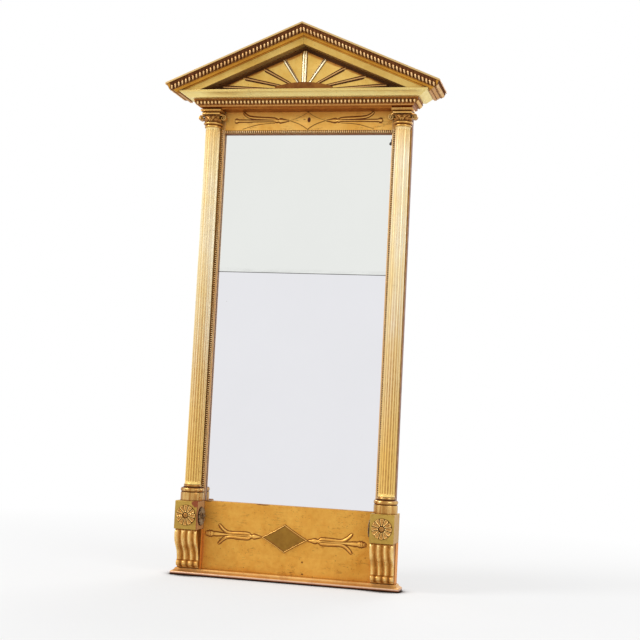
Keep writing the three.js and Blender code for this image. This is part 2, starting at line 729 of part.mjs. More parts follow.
function buildFan(face) {
  const back = face + gap;
  const focus = [0, coronaTop + 2 * gap];
  const pieces = [alongY(fanOutline(focus), back, back + fan.plate)];
  for (let index = -fan.ribs; index <= fan.ribs; index += 1) {
    pieces.push(rib(index, focus, back + fan.plate / 2));
  }
  const ahead = box(-reach, reach, -reach, back, -reach, 2 * reach);
  const below = box(-reach, reach, -reach, reach, -reach, coronaTop + gap);
  const hubRoom = hubSolid(back - gap, 2 * hub.thickness, gap);
  place('fan', cut(join(...pieces), ahead, below, hubRoom), 'brightGold');
  place('fan_hub', hubSolid(back, hub.thickness, 0), 'boleRed');
}

// the low segment that the ribs spring from
function hubSolid(back, thickness, clearance) {
  const foot = coronaTop + gap - clearance;
  const half = hub.halfWidth + clearance;
  const crown = coronaTop + gap + hub.height + clearance;
  const radius = (half ** 2 + hub.sagitta ** 2) / (2 * hub.sagitta);
  const spread = Math.asin(half / radius);
  const arc = Array.from({ length: 17 }, (_, step) => {
    const turn = spread - (step / 16) * 2 * spread;
    return [radius * Math.sin(turn), crown - radius * (1 - Math.cos(turn))];
  });
  return alongY([[-half, foot], [half, foot], ...arc], back, back + thickness);
}

// ---------------------------------------------------------------- hanging rings on the back

// Pieces here lie behind the back plane, at negative depth.
const knuckleDepth = -(gap + knuckleRadius);

// a hole of the screw's size, run back from the face that the screw goes into
function screwHole(start, length) {
  const radius = hanger.screwRadius + gap;
  const hole = new THREE.CylinderGeometry(radius, radius, length + start, 12);
  return hole.translate(postX, (length - start) / -2, hangerZ - hanger.screwDrop);
}

function lieAlongX(radius, halfLength, segments) {
  const rod = new THREE.CylinderGeometry(radius, radius, 2 * halfLength, segments).rotateZ(Math.PI / 2);
  return rod.translate(postX, -knuckleDepth, hangerZ);
}

// a wire bent in the (x, z) plane round a closed path, mitred at each bend
function closedWire(path, radius, sides) {
  const rings = path.map(([x, z], index) => {
    const [px, pz] = path.at(index - 1);
    const [nx, nz] = path[(index + 1) % path.length];
    const before = Math.atan2(z - pz, x - px);
    const after = Math.atan2(nz - z, nx - x);
    const bend = Math.atan2(Math.sin(after - before), Math.cos(after - before)) / 2;
    const side = before + bend + Math.PI / 2;
    const stretch = radius / Math.cos(bend);
    return Array.from({ length: sides }, (_, step) => {
      const turn = (step / sides) * 2 * Math.PI;
      const out = stretch * Math.cos(turn);
      return [x + out * Math.cos(side), -radius * Math.sin(turn), z + out * Math.sin(side)];
    });
  });
  return loft([...rings, rings[0]], null);
}

function buildHangers() {
  const { width, height, plate, wire, ringWidth, ringHeight } = hanger;
  const plateBox = box(postX - width / 2, postX + width / 2, -(gap + plate), -gap, hangerZ - height, hangerZ);
  const knuckle = lieAlongX(knuckleRadius, width / 2, 20);
  const bore = lieAlongX(wire / 2 + gap, width, 16);
  placePair('hanger_plate', cut(join(plateBox, knuckle), bore, screwHole(reach, reach)), 'iron');

  const half = (ringWidth - wire) / 2;
  const low = wire / 2 - ringHeight + half;
  const bow = Array.from({ length: 13 }, (_, step) => {
    const turn = (step / 12) * Math.PI;
    return [half * Math.cos(turn), low - half * Math.sin(turn)];
  });
  const ring = closedWire([[half, 0], ...bow, [-half, 0]], wire / 2, 8);
  placePair('hanging_ring', ring.translate(postX, -knuckleDepth, hangerZ), 'iron');

  const headDepth = -(gap + plate + gap);
  const screw = turned([
    [hanger.screwRadius, -hanger.screwLength], [hanger.screwRadius, 0], [hanger.screwHead, 0],
    [hanger.screwHead, 0.2], [hanger.screwHead * 0.6, 0.2 + gap],
  ], 12);
  screw.rotateX(-Math.PI / 2).translate(postX, -headDepth, hangerZ - hanger.screwDrop);
  placePair('hanger_screw', screw, 'iron');
}

// ---------------------------------------------------------------- assembly

buildStiles();
buildRailsAndGlass();
buildPedestals();
buildBaseMoulding();
buildRosettes();
buildConsoles();
buildShafts();
buildColumnBases();
buildCapitals();
buildBeads();
buildOrnaments();
buildBedMoulding();
buildCorona();
buildRakingBoards();
buildRakingMouldings();
buildEaveReturns();
buildFan(buildTympanum());
buildHangers();

export default model;
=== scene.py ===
# A gilded pier mirror: the carving, gilding, glass and back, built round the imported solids.
import math

import bmesh
import bpy
from mathutils import Matrix, Vector


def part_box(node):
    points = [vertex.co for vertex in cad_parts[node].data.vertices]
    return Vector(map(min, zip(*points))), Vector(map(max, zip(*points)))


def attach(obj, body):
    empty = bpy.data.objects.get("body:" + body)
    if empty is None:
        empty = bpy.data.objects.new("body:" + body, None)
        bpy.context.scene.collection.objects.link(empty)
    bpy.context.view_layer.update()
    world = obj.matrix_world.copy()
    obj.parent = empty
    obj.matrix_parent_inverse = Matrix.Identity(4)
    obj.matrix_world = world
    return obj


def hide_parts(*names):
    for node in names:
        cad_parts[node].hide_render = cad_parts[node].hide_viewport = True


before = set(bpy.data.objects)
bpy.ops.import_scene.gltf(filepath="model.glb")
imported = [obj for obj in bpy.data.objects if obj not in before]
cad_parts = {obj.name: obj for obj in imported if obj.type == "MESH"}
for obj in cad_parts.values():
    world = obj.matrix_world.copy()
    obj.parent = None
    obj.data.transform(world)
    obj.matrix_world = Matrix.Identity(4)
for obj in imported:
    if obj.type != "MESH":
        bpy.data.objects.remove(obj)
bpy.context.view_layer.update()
print("frame loaded,", len(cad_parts), "solids")

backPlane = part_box("left_stile")[1].y  # depth is measured forward from here, in millimetres
bothSides = ((-1, "left"), (1, "right"))


def place(x, depth, z, hollow=0.0):
    # hollow, the fourth value, says how much dirt and painted shade the carving holds at this point
    return Vector((x / 1000, backPlane - depth / 1000, z / 1000, hollow))


def nodeBox(node):
    # left, right, near depth, far depth, low, high of a solid, in millimetres
    low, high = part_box(node)
    return (low.x * 1000, high.x * 1000, (backPlane - high.y) * 1000, (backPlane - low.y) * 1000,
            low.z * 1000, high.z * 1000)


def frontOf(node):
    # middle x and z, half width and half height of a solid, and the depth of its back
    left, right, near, _, low, high = nodeBox(node)
    return (left + right) / 2, (low + high) / 2, (right - left) / 2, (high - low) / 2, near


def gridFaces(rows, columns, wrap=False):
    faces = []
    for row in range(rows - 1):
        for column in range(columns if wrap else columns - 1):
            after = (column + 1) % columns
            faces.append((row * columns + column, row * columns + after,
                          (row + 1) * columns + after, (row + 1) * columns + column))
    return faces


def loftShell(rings, closedEnds=True):
    # closed rings of equal length, skinned, then capped or joined end to end
    count = len(rings[0])
    verts = [point for ring in rings for point in ring]
    if closedEnds:
        faces = gridFaces(len(rings), count, wrap=True)
        faces.append(tuple(reversed(range(count))))
        faces.append(tuple(range(len(verts) - count, len(verts))))
    else:
        faces = gridFaces(len(rings) + 1, count, wrap=True)
        faces = [tuple(index % len(verts) for index in face) for face in faces]
    return verts, faces


def sheetShell(front, back):
    # two grids of points of the same size, joined round their edges
    rows, columns = len(front), len(front[0])
    verts = [point for row in front + back for point in row]
    offset = rows * columns
    faces = gridFaces(rows, columns)
    faces += [tuple(offset + index for index in reversed(face)) for face in gridFaces(rows, columns)]
    rim = list(range(columns))
    rim += [row * columns + columns - 1 for row in range(1, rows)]
    rim += [(rows - 1) * columns + column for column in range(columns - 2, -1, -1)]
    rim += [row * columns for row in range(rows - 2, 0, -1)]
    for index, start in enumerate(rim):
        end = rim[(index + 1) % len(rim)]
        faces.append((end, start, offset + start, offset + end))
    return verts, faces


def poleShell(rings, pole):
    # rings that close to a pole, over a flat first ring
    count = len(rings[0])
    verts = [point for ring in rings for point in ring] + [pole]
    faces = gridFaces(len(rings), count, wrap=True)
    faces.append(tuple(reversed(range(count))))
    last = (len(rings) - 1) * count
    for index in range(count):
        faces.append((last + index, last + (index + 1) % count, len(verts) - 1))
    return verts, faces


def buildObject(name, shells, material, sharpAngle=38):
    verts, faces = [], []
    for shellVerts, shellFaces in shells:
        offset = len(verts)
        verts += shellVerts
        faces += [tuple(offset + index for index in face) for face in shellFaces]
    mesh = bpy.data.meshes.new(name)
    mesh.from_pydata([vert[:3] for vert in verts], [], faces)
    hollows = mesh.attributes.new("hollow", "FLOAT", "POINT")
    hollows.data.foreach_set("value", [vert[3] for vert in verts])
    work = bmesh.new()
    work.from_mesh(mesh)
    bmesh.ops.recalc_face_normals(work, faces=work.faces)
    work.to_mesh(mesh)
    work.free()
    smoothFaces(mesh, sharpAngle)
    return objectOf(name, mesh, material)


def smoothFaces(mesh, sharpAngle):
    mesh.polygons.foreach_set("use_smooth", [True] * len(mesh.polygons))
    mesh.set_sharp_from_angle(angle=math.radians(sharpAngle))


def objectOf(name, mesh, material):
    mesh.materials.clear()
    mesh.materials.append(material)
    made = bpy.data.objects.new(name, mesh)
    bpy.context.scene.collection.objects.link(made)
    return made


def finishPiece(made, replaced=(), body="frame"):
    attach(made, body)
    if replaced:
        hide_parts(*replaced)


def smoothPath(points, steps):
    # a curve through the points, with the same number of steps between each pair
    curve = []
    for index in range(len(points) - 1):
        before = points[max(index - 1, 0)]
        first, second = points[index], points[index + 1]
        after = points[min(index + 2, len(points) - 1)]
        for step in range(steps):
            t = step / steps
            curve.append(tuple(
                0.5 * (2 * b + (c - a) * t + (2 * a - 5 * b + 4 * c - d) * t * t
                       + (3 * b - a - 3 * c + d) * t ** 3)
                for a, b, c, d in zip(before, first, second, after)))
    curve.append(tuple(points[-1]))
    return curve


def between(first, second, share):
    return tuple(a + (b - a) * share for a, b in zip(first, second))


def squareTo(before, after):
    # the direction square to the line from one point of a path to another, in x and z
    dx, dz = after[0] - before[0], after[1] - before[1]
    length = math.hypot(dx, dz)
    return -dz / length, dx / length


easing = {"sharpest": 28, "segments": 2, "smoothBelow": 38}  # degrees, and steps across a rounded edge


def softened(node, width, material):
    # the solid with its edges rounded, as hand work leaves them, and its flat faces kept flat
    work = bmesh.new()
    work.from_mesh(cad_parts[node].data)
    bmesh.ops.remove_doubles(work, verts=work.verts, dist=2e-5)
    bmesh.ops.dissolve_limit(work, angle_limit=math.radians(1), verts=work.verts, edges=work.edges)
    sharpest, smoothBelow = math.radians(easing["sharpest"]), math.radians(easing["smoothBelow"])
    edges = [edge for edge in work.edges if len(edge.link_faces) == 2 and edge.calc_face_angle() > sharpest]
    rounded = set(bmesh.ops.bevel(work, geom=edges, offset=width / 1000, segments=easing["segments"],
                                  profile=0.5, affect="EDGES", clamp_overlap=True)["faces"])
    bmesh.ops.recalc_face_normals(work, faces=work.faces)
    for edge in work.edges:
        faces = edge.link_faces
        edge.smooth = (len(faces) == 2 and edge.calc_face_angle() < smoothBelow
                       and (faces[0] in rounded) == (faces[1] in rounded))
    mesh = bpy.data.meshes.new(node + "_shaped")
    work.to_mesh(mesh)
    work.free()
    mesh.polygons.foreach_set("use_smooth", [True] * len(mesh.polygons))
    finishPiece(objectOf(node + "_shaped", mesh, material), [node])


def addNode(tree, kind, values=None, **settings):
    node = tree.nodes.new(kind)
    for key, value in settings.items():
        setattr(node, key, value)
    for socket, value in (values or {}).items():
        if isinstance(value, bpy.types.NodeSocket):
            tree.links.new(value, node.inputs[socket])
        else:
            node.inputs[socket].default_value = value
    return node


def mixColour(tree, factor, first, second, blend="MIX"):
    first, second = [(*c, 1) if isinstance(c, tuple) and len(c) == 3 else c for c in (first, second)]
    return addNode(tree, "ShaderNodeMix", {0: factor, 6: first, 7: second},
                   data_type="RGBA", blend_type=blend).outputs[2]


def calc(tree, operation, first, second=0.0, clamp=False):
    return addNode(tree, "ShaderNodeMath", {0: first, 1: second}, operation=operation,
                   use_clamp=clamp).outputs[0]


def plus(tree, first, second, clamp=False):
    return calc(tree, "ADD", first, second, clamp)


def minus(tree, first, second):
    return calc(tree, "SUBTRACT", first, second)


def times(tree, first, second, clamp=False):
    return calc(tree, "MULTIPLY", first, second, clamp)


def larger(tree, first, second):
    return calc(tree, "MAXIMUM", first, second)


def remap(tree, value, low, high, outLow=0.0, outHigh=1.0):
    return addNode(tree, "ShaderNodeMapRange",
                   {0: value, 1: low, 2: high, 3: outLow, 4: outHigh}).outputs[0]


def vectorCalc(tree, operation, first, second):
    return addNode(tree, "ShaderNodeVectorMath", {0: first, 1: second}, operation=operation).outputs[0]


def lengthOf(tree, vector):
    return addNode(tree, "ShaderNodeVectorMath", {0: vector}, operation="LENGTH").outputs["Value"]


def axesOf(tree, vector):
    return addNode(tree, "ShaderNodeSeparateXYZ", {0: vector}).outputs


def objectCoords(tree):
    return addNode(tree, "ShaderNodeTexCoord").outputs["Object"]


def facingOf(tree):
    return axesOf(tree, addNode(tree, "ShaderNodeTexCoord").outputs["Normal"])


def noiseOf(tree, coords, scale, detail=3.0, rough=0.55, stretch=None):
    if stretch:
        coords = addNode(tree, "ShaderNodeMapping", {"Vector": coords, "Scale": stretch}).outputs[0]
    return addNode(tree, "ShaderNodeTexNoise",
                   {"Vector": coords, "Scale": scale, "Detail": detail, "Roughness": rough}).outputs[0]


def cellsOf(tree, coords, scale):
    return addNode(tree, "ShaderNodeTexVoronoi", {"Vector": coords, "Scale": scale}).outputs["Distance"]


def opennessOf(tree, reach, samples, inside=False):
    # 1 in the open, less where something stands within reach; turned inside it finds the edges
    return addNode(tree, "ShaderNodeAmbientOcclusion", {"Distance": reach}, samples=samples,
                   inside=inside).outputs["AO"]


def newMaterial(name):
    material = bpy.data.materials.new(name)
    material.use_nodes = True
    tree = material.node_tree
    return material, tree, tree.nodes["Principled BSDF"]


def feedShader(tree, shader, inputs, relief, strength, distance):
    # links what the shader shows, with the relief as a bump
    bump = addNode(tree, "ShaderNodeBump", {"Height": relief, "Strength": strength, "Distance": distance})
    for socket, value in {**inputs, "Normal": bump.outputs[0]}.items():
        tree.links.new(value, shader.inputs[socket])


def patchMask(tree, coords, centre, radii, ragged):
    # 1 inside a ragged ellipsoid, 0 outside
    moved = vectorCalc(tree, "SUBTRACT", coords, centre)
    length = lengthOf(tree, vectorCalc(tree, "DIVIDE", moved, radii))
    wander = times(tree, minus(tree, noiseOf(tree, coords, 140, 3), 0.5), ragged)
    return remap(tree, plus(tree, length, wander), 0.85, 1.1, 1, 0)


def inPatches(tree, coords, mark, scale, start):
    # a mark that shows only in some places
    return times(tree, mark, remap(tree, noiseOf(tree, coords, scale, 3), start, start + 0.08))


commonLook = {
    # the shade colour and the darkest one after it are painted shade with some dirt, for hollows and recesses
    "gold": (0.84, 0.56, 0.14), "deep": (0.64, 0.36, 0.07), "shade": (0.36, 0.13, 0.02),
    "dirtAndShade": (0.055, 0.016, 0.003), "clay": (0.3, 0.09, 0.035), "speck": (0.06, 0.024, 0.008),
    "sideColour": (0.56, 0.3, 0.13), "sideTone": 0.0, "sideFrom": 0.8, "underTone": 1.0, "topTone": 0.0,
    "frontColour": (0.7, 0.5, 0.23), "frontTone": 0.0, "frontLine": 1.0,
    "reflectionStripeColour": (0.8, 0.58, 0.22), "reflectionStripes": 0.0, "streaks": 0.0, "sheets": 0.5,
    "patchScale": 7.0, "mottleScale": 60.0, "mottle": 0.25, "metal": 0.85, "rough": 0.36, "bump": 0.25,
    # how near something has to stand for dirt and painted shade to gather, and how open the first and the
    # deepest of it are
    "dirtShadeReach": 0.008, "dirtShadeOpen": 0.75, "dirtShadeDeep": 0.3, "hollowFadeFrom": 9.0,
    "wearStart": 0.6, "flatWear": 0.0, "speckScale": 160.0, "speckStart": 0.56,
    "spots": 0.0, "scratches": 0.0, "cracks": 0.0, "shadowLineTop": 0.0,
    # a tone is a start height, an end height and a colour; a patch or a hole is a centre and its radii
    "tones": [], "patches": [], "holes": [],
}
leafSheets = {"Brick Width": 0.081, "Row Height": 0.083, "Mortar Size": 0.0004, "Mortar Smooth": 0.6,
              "Scale": 1.0, "Color1": (1, 1, 1, 1), "Color2": (0.86, 0.84, 0.8, 1),
              "Mortar": (0.8, 0.72, 0.62, 1)}
bareWood = {"pale": (0.3, 0.165, 0.08), "dark": (0.17, 0.088, 0.042)}
# the colour of the painted contact shadow along the lowest edge
contactShadowColour = (0.035, 0.012, 0.004)


def leafColour(tree, look, ground):
    # the sheets of leaf overlap about every 80 mm, and differ a little in tone
    coords, where, broad = ground["coords"], ground["where"], ground["broad"]
    colour = mixColour(tree, broad, look["gold"], look["deep"])
    mottle = times(tree, ground["mottled"], look["mottle"])
    colour = mixColour(tree, mottle, colour, look["deep"], "MULTIPLY")
    upright = addNode(tree, "ShaderNodeMapping", {"Vector": coords, "Rotation": (math.pi / 2, 0, 0)})
    sheets = addNode(tree, "ShaderNodeTexBrick", {"Vector": upright.outputs[0], **leafSheets})
    colour = mixColour(tree, look["sheets"], colour, sheets.outputs["Color"], "MULTIPLY")
    for start, end, tone in look["tones"]:
        # the tone grows from the start height to the end height
        wander = times(tree, minus(tree, broad, 0.5), 0.12 * (end - start))
        colour = mixColour(tree, remap(tree, plus(tree, where[2], wander), start, end), colour, tone)
    # vertical stripes of a second tone: painted reflection and shade, as a polished round shows the room
    if look["reflectionStripes"]:
        reflectionStripes = remap(tree, noiseOf(tree, coords, 46, 2, 0.5, (1, 1, 0.035)), 0.42, 0.6)
        colour = mixColour(tree, times(tree, reflectionStripes, look["reflectionStripes"]), colour, look["reflectionStripeColour"])
    # thin vertical streaks towards the shade colour: painted reflection streaks
    if look["streaks"]:
        streaks = remap(tree, noiseOf(tree, coords, 130, 3, 0.6, (1, 1, 0.06)), 0.46, 0.66)
        colour = mixColour(tree, times(tree, streaks, look["streaks"]), colour, look["shade"])
    if look["frontTone"]:
        # flat faces that look forwards get their own tone, lighter or darker than the rest: painted light and
        # shade by facing
        front = times(tree, remap(tree, ground["facing"][1], -0.93, -0.99), look["frontTone"])
        beforeLine = remap(tree, where[1], look["frontLine"] + 0.002, look["frontLine"])
        colour = mixColour(tree, times(tree, front, beforeLine), colour, look["frontColour"])
    return colour


def dirtAndPaintedShade(tree, look, ground):
    # painted shade, with some dirt: darker where little light falls and in the hollows of the carving, and
    # less in the hollows above a given height
    hollow = remap(tree, opennessOf(tree, look["dirtShadeReach"], 5), look["dirtShadeOpen"], look["dirtShadeDeep"])
    carved = addNode(tree, "ShaderNodeAttribute", attribute_name="hollow", attribute_type="GEOMETRY")
    hollowFade = remap(tree, ground["where"][2], look["hollowFadeFrom"] - 0.4, look["hollowFadeFrom"], 1.0, 0.4)
    hollow = larger(tree, hollow, times(tree, carved.outputs["Fac"], hollowFade))
    return times(tree, hollow, remap(tree, ground["mottled"], 0, 1, 0.8, 1.15), clamp=True)


def rubbedToClay(tree, look, ground):
    # leaf rubbed through to the clay on edges and in patches
    coords = ground["coords"]
    edge = remap(tree, opennessOf(tree, 0.0022, 3, inside=True), 0.62, 0.2)
    rubbed = remap(tree, noiseOf(tree, coords, 34, 5, 0.7), look["wearStart"], look["wearStart"] + 0.12)
    worn = times(tree, rubbed, plus(tree, times(tree, edge, 0.9), look["flatWear"]), clamp=True)
    for centre, radii in look["patches"]:
        worn = larger(tree, worn, patchMask(tree, coords, centre, radii, 1.2))
    return worn


def marksOn(tree, look, ground):
    # specks, scratches, spots, cracks, and nail or worm holes
    coords = ground["coords"]
    specks = remap(tree, cellsOf(tree, coords, look["speckScale"]), 0.16, 0.1)
    marks = inPatches(tree, coords, specks, 15, look["speckStart"])
    scratches = remap(tree, noiseOf(tree, coords, 75, 4, 0.75, (0.35, 1, 2.2)), 0.66, 0.74)
    marks = larger(tree, marks, times(tree, scratches, look["scratches"]))
    if look["spots"]:
        ragged = times(tree, minus(tree, ground["fine"], 0.5), 0.16)
        spots = remap(tree, plus(tree, cellsOf(tree, coords, 62.0), ragged), 0.17, 0.09)
        marks = larger(tree, marks, times(tree, inPatches(tree, coords, spots, 12, 0.5), look["spots"]))
    if look["cracks"]:
        lines = minus(tree, noiseOf(tree, coords, 34, 5, 0.6, (0.3, 1, 1.9)), 0.5)
        cracks = remap(tree, calc(tree, "ABSOLUTE", lines), 0.013, 0.004)
        marks = larger(tree, marks, times(tree, inPatches(tree, coords, cracks, 19, 0.5), look["cracks"]))
    for centre, radii in look["holes"]:
        marks = larger(tree, marks, patchMask(tree, coords, centre, radii, 0.35))
    return marks


def washedSides(tree, look, ground):
    # sides and undersides were only washed with colour
    facing = ground["facing"]
    side = remap(tree, calc(tree, "ABSOLUTE", facing[0]), look["sideFrom"], look["sideFrom"] + 0.17)
    under = times(tree, remap(tree, facing[2], -0.9, -0.985), look["underTone"])
    side = times(tree, larger(tree, side, under), look["sideTone"])
    return times(tree, side, remap(tree, ground["broad"], 0, 1, 0.75, 1.0))


def bareBacks(tree, look, ground):
    # backs were left as bare wood, and dust lies on the high tops
    facing = ground["facing"]
    bare = remap(tree, facing[1], 0.6, 0.9)
    if look["topTone"]:
        bare = larger(tree, bare, times(tree, remap(tree, facing[2], 0.7, 0.88), look["topTone"]))
    grain = remap(tree, noiseOf(tree, ground["coords"], 70, 4, 0.6, (0.12, 1, 1)), 0.35, 0.65)
    return bare, mixColour(tree, grain, bareWood["pale"], bareWood["dark"])


def makeGilding(name, changes):
    look = {**commonLook, **changes}
    material, tree, shader = newMaterial(name)
    coords = objectCoords(tree)
    broad = remap(tree, noiseOf(tree, coords, look["patchScale"], 4, 0.6), 0.32, 0.68)
    mottled = remap(tree, noiseOf(tree, coords, look["mottleScale"], 5, 0.65), 0.3, 0.7)
    fine = noiseOf(tree, coords, 420, 3, 0.6)
    ground = {"coords": coords, "where": axesOf(tree, coords), "facing": facingOf(tree),
              "broad": broad, "mottled": mottled, "fine": fine}
    colour = leafColour(tree, look, ground)
    # dirt and painted shade turn the gold orange, then dark brown
    hollow = dirtAndPaintedShade(tree, look, ground)
    colour = mixColour(tree, remap(tree, hollow, 0, 0.55), colour, look["shade"])
    colour = mixColour(tree, remap(tree, hollow, 0.35, 1), colour, look["dirtAndShade"])
    worn = rubbedToClay(tree, look, ground)
    colour = mixColour(tree, worn, colour, look["clay"])
    marks = marksOn(tree, look, ground)
    colour = mixColour(tree, marks, colour, look["speck"])
    if look["sideTone"]:
        side = washedSides(tree, look, ground)
        colour = mixColour(tree, side, colour, look["sideColour"])
        worn = larger(tree, worn, times(tree, side, 0.7))
    bare, wood = bareBacks(tree, look, ground)
    colour = mixColour(tree, bare, colour, wood)
    worn = larger(tree, worn, bare)
    if look["shadowLineTop"]:
        # painted contact shadow, with a little floor dirt, along the lowest edge
        height = plus(tree, ground["where"][2], times(tree, mottled, 0.001))
        paintedShade = remap(tree, height, look["shadowLineTop"], look["shadowLineTop"] - 0.001)
        colour = mixColour(tree, paintedShade, colour, contactShadowColour)
        hollow = larger(tree, hollow, paintedShade)

    dull = larger(tree, times(tree, hollow, 0.8), times(tree, worn, 0.9))
    rough = remap(tree, mottled, 0, 1, look["rough"] - 0.05, look["rough"] + 0.1)
    relief = plus(tree, times(tree, mottled, 0.6), times(tree, fine, 0.4))
    relief = minus(tree, relief, times(tree, plus(tree, worn, marks), 0.25))
    shader.inputs["Specular IOR Level"].default_value = 0.15
    feedShader(tree, shader, {
        "Base Color": colour, "Metallic": remap(tree, dull, 0, 1, look["metal"], 0.05),
        "Roughness": plus(tree, rough, times(tree, dull, 0.25), clamp=True)}, relief, look["bump"], 0.0006)
    return material


brightGilding = makeGilding("brightGilding", {
    "gold": (0.74, 0.53, 0.165), "deep": (0.6, 0.37, 0.08), "sideTone": 0.7, "metal": 0.7, "topTone": 0.85})
# its pale gold is brightened partly to stand for the white floor reflected in the sloping corona face:
# painted reflection
cornerGilding = makeGilding("cornerGilding", {
    "gold": (1.0, 0.84, 0.36), "deep": (0.96, 0.76, 0.29), "sideTone": 0.8, "sideFrom": 0.5,
    "sideColour": (0.66, 0.43, 0.28), "underTone": 0.0, "frontTone": 0.8, "frontColour": (0.58, 0.38, 0.1),
    "sheets": 0.2, "mottle": 0.12, "metal": 0.7, "topTone": 0.85})
# the cream-white gold is partly painted reflection of a white room; its tones turn it orange towards the
# foot, partly dirt and partly painted shade, and darker under the capital, painted shade
columnGilding = makeGilding("columnGilding", {
    "gold": (1.0, 0.95, 0.76), "deep": (0.97, 0.86, 0.56), "shade": (0.5, 0.22, 0.04), "rough": 0.34,
    "dirtShadeReach": 0.004, "metal": 0.5, "mottle": 0.1, "sheets": 0.15, "streaks": 0.1, "hollowFadeFrom": 1.05,
    "reflectionStripes": 0.5, "reflectionStripeColour": (0.9, 0.66, 0.22),
    "tones": [(0.9, 0.42, (1.0, 0.7, 0.22)), (1.38, 1.47, (0.9, 0.66, 0.31))]})
# its dark vertical stripes and streaks are painted shade and reflection on the turned foot
footGilding = makeGilding("footGilding", {
    "gold": (0.95, 0.72, 0.32), "deep": (0.7, 0.42, 0.12), "rough": 0.22, "wearStart": 0.52, "mottle": 0.4,
    "patchScale": 14.0, "streaks": 0.9, "reflectionStripes": 0.7, "reflectionStripeColour": (0.36, 0.16, 0.035)})
capitalGilding = makeGilding("capitalGilding", {
    "gold": (0.92, 0.64, 0.25), "deep": (0.66, 0.36, 0.08), "shade": (0.42, 0.17, 0.03),
    "dirtAndShade": (0.1, 0.027, 0.005), "dirtShadeReach": 0.006, "rough": 0.24})
eggGilding = makeGilding("eggGilding", {
    "gold": (0.98, 0.72, 0.38), "deep": (0.78, 0.48, 0.2), "shade": (0.38, 0.14, 0.026),
    "dirtAndShade": (0.125, 0.037, 0.008), "dirtShadeReach": 0.002, "rough": 0.24, "speckStart": 0.7})
bedEggGilding = makeGilding("bedEggGilding", {
    "gold": (1.0, 0.76, 0.4), "deep": (0.86, 0.56, 0.23), "shade": (0.5, 0.21, 0.04),
    "dirtAndShade": (0.17, 0.056, 0.011), "dirtShadeReach": 0.0015, "rough": 0.24, "speckStart": 0.7})
beadGilding = makeGilding("beadGilding", {
    "gold": (1.0, 0.76, 0.42), "deep": (0.94, 0.6, 0.26), "shade": (0.46, 0.19, 0.035), "metal": 0.5,
    "dirtAndShade": (0.085, 0.026, 0.005), "dirtShadeReach": 0.0012, "rough": 0.26, "speckStart": 0.7})
mouldingGilding = makeGilding("mouldingGilding", {
    "gold": (0.74, 0.38, 0.05), "deep": (0.54, 0.24, 0.03), "sideTone": 0.8, "underTone": 0.0,
    "sideColour": (0.55, 0.31, 0.16), "frontTone": 0.85, "frontColour": (0.6, 0.44, 0.2),
    "frontLine": -0.082, "topTone": 0.85, "dirtShadeReach": 0.005, "dirtShadeOpen": 0.9})
# its dark red is the cove under the cornice in painted shade; forward faces get the lighter orange of painted
# light
bedGilding = makeGilding("bedGilding", {
    "gold": (0.5, 0.19, 0.03), "deep": (0.36, 0.11, 0.018), "sideTone": 0.8, "underTone": 0.0,
    "sideColour": (0.55, 0.31, 0.16), "frontTone": 0.8, "frontColour": (0.66, 0.34, 0.1),
    "dirtShadeReach": 0.003})
panelGilding = makeGilding("panelGilding", {
    "gold": (0.84, 0.47, 0.09), "deep": (0.72, 0.35, 0.05), "clay": (0.6, 0.23, 0.045),
    "speck": (0.16, 0.05, 0.01), "rough": 0.45, "metal": 0.5, "dirtShadeReach": 0.003, "mottle": 0.35,
    "flatWear": 0.1, "scratches": 0.8, "speckStart": 0.46, "spots": 0.65, "cracks": 0.55,
    "patches": [((-0.283, 0.03, 0.085), (0.007, 0.04, 0.06))],
    "holes": [((0.056, 0.05, 0.067), (0.003, 0.02, 0.003)), ((0.058, 0.05, 0.029), (0.003, 0.02, 0.003)),
              ((-0.27, 0.05, 0.2425), (0.012, 0.004, 0.003)),
              ((-0.084, 0.05, 0.2425), (0.024, 0.004, 0.003))]})
friezeGilding = makeGilding("friezeGilding", {
    "gold": (0.96, 0.6, 0.16), "deep": (0.82, 0.44, 0.08), "speck": (0.1, 0.025, 0.012), "rough": 0.48,
    "metal": 0.4, "scratches": 0.5, "dirtShadeReach": 0.002, "cracks": 0.6, "spots": 0.4,
    # the first tone is painted shade under the bed moulding; the second darkens the frieze's lowest edge
    "tones": [(1.52, 1.545, (0.78, 0.36, 0.07)), (1.4675, 1.4665, (0.26, 0.09, 0.02))],
    "holes": [((0.005, 0.05, 1.5103), (0.0055, 0.02, 0.009)),
              ((-0.0105, 0.05, 1.511), (0.004, 0.02, 0.0012))]})
spearGilding = makeGilding("spearGilding", {
    "gold": (0.92, 0.6, 0.18), "deep": (0.76, 0.42, 0.09), "shade": (0.42, 0.15, 0.025),
    "dirtAndShade": (0.13, 0.034, 0.007), "dirtShadeReach": 0.002, "rough": 0.3})
lowSpearGilding = makeGilding("lowSpearGilding", {
    "gold": (0.9, 0.54, 0.14), "deep": (0.74, 0.38, 0.07), "shade": (0.46, 0.19, 0.03),
    "dirtAndShade": (0.24, 0.08, 0.013), "dirtShadeReach": 0.0015, "rough": 0.34})
oliveGilding = makeGilding("oliveGilding", {
    "gold": (0.6, 0.4, 0.09), "deep": (0.46, 0.28, 0.06), "clay": (0.3, 0.08, 0.03), "rough": 0.42,
    "metal": 0.7, "sideTone": 0.85, "sideColour": (0.66, 0.4, 0.17), "mottle": 0.3, "dirtShadeReach": 0.004,
    "patches": [((-0.29, -0.012, 0.236), (0.016, 0.05, 0.012)), ((-0.2835, 0.01, 0.2), (0.004, 0.1, 0.07))]})
lozengeGilding = makeGilding("lozengeGilding", {
    "gold": (0.42, 0.225, 0.035), "deep": (0.28, 0.13, 0.02), "rough": 0.42, "metal": 0.6,
    "scratches": 0.5, "spots": 0.5})
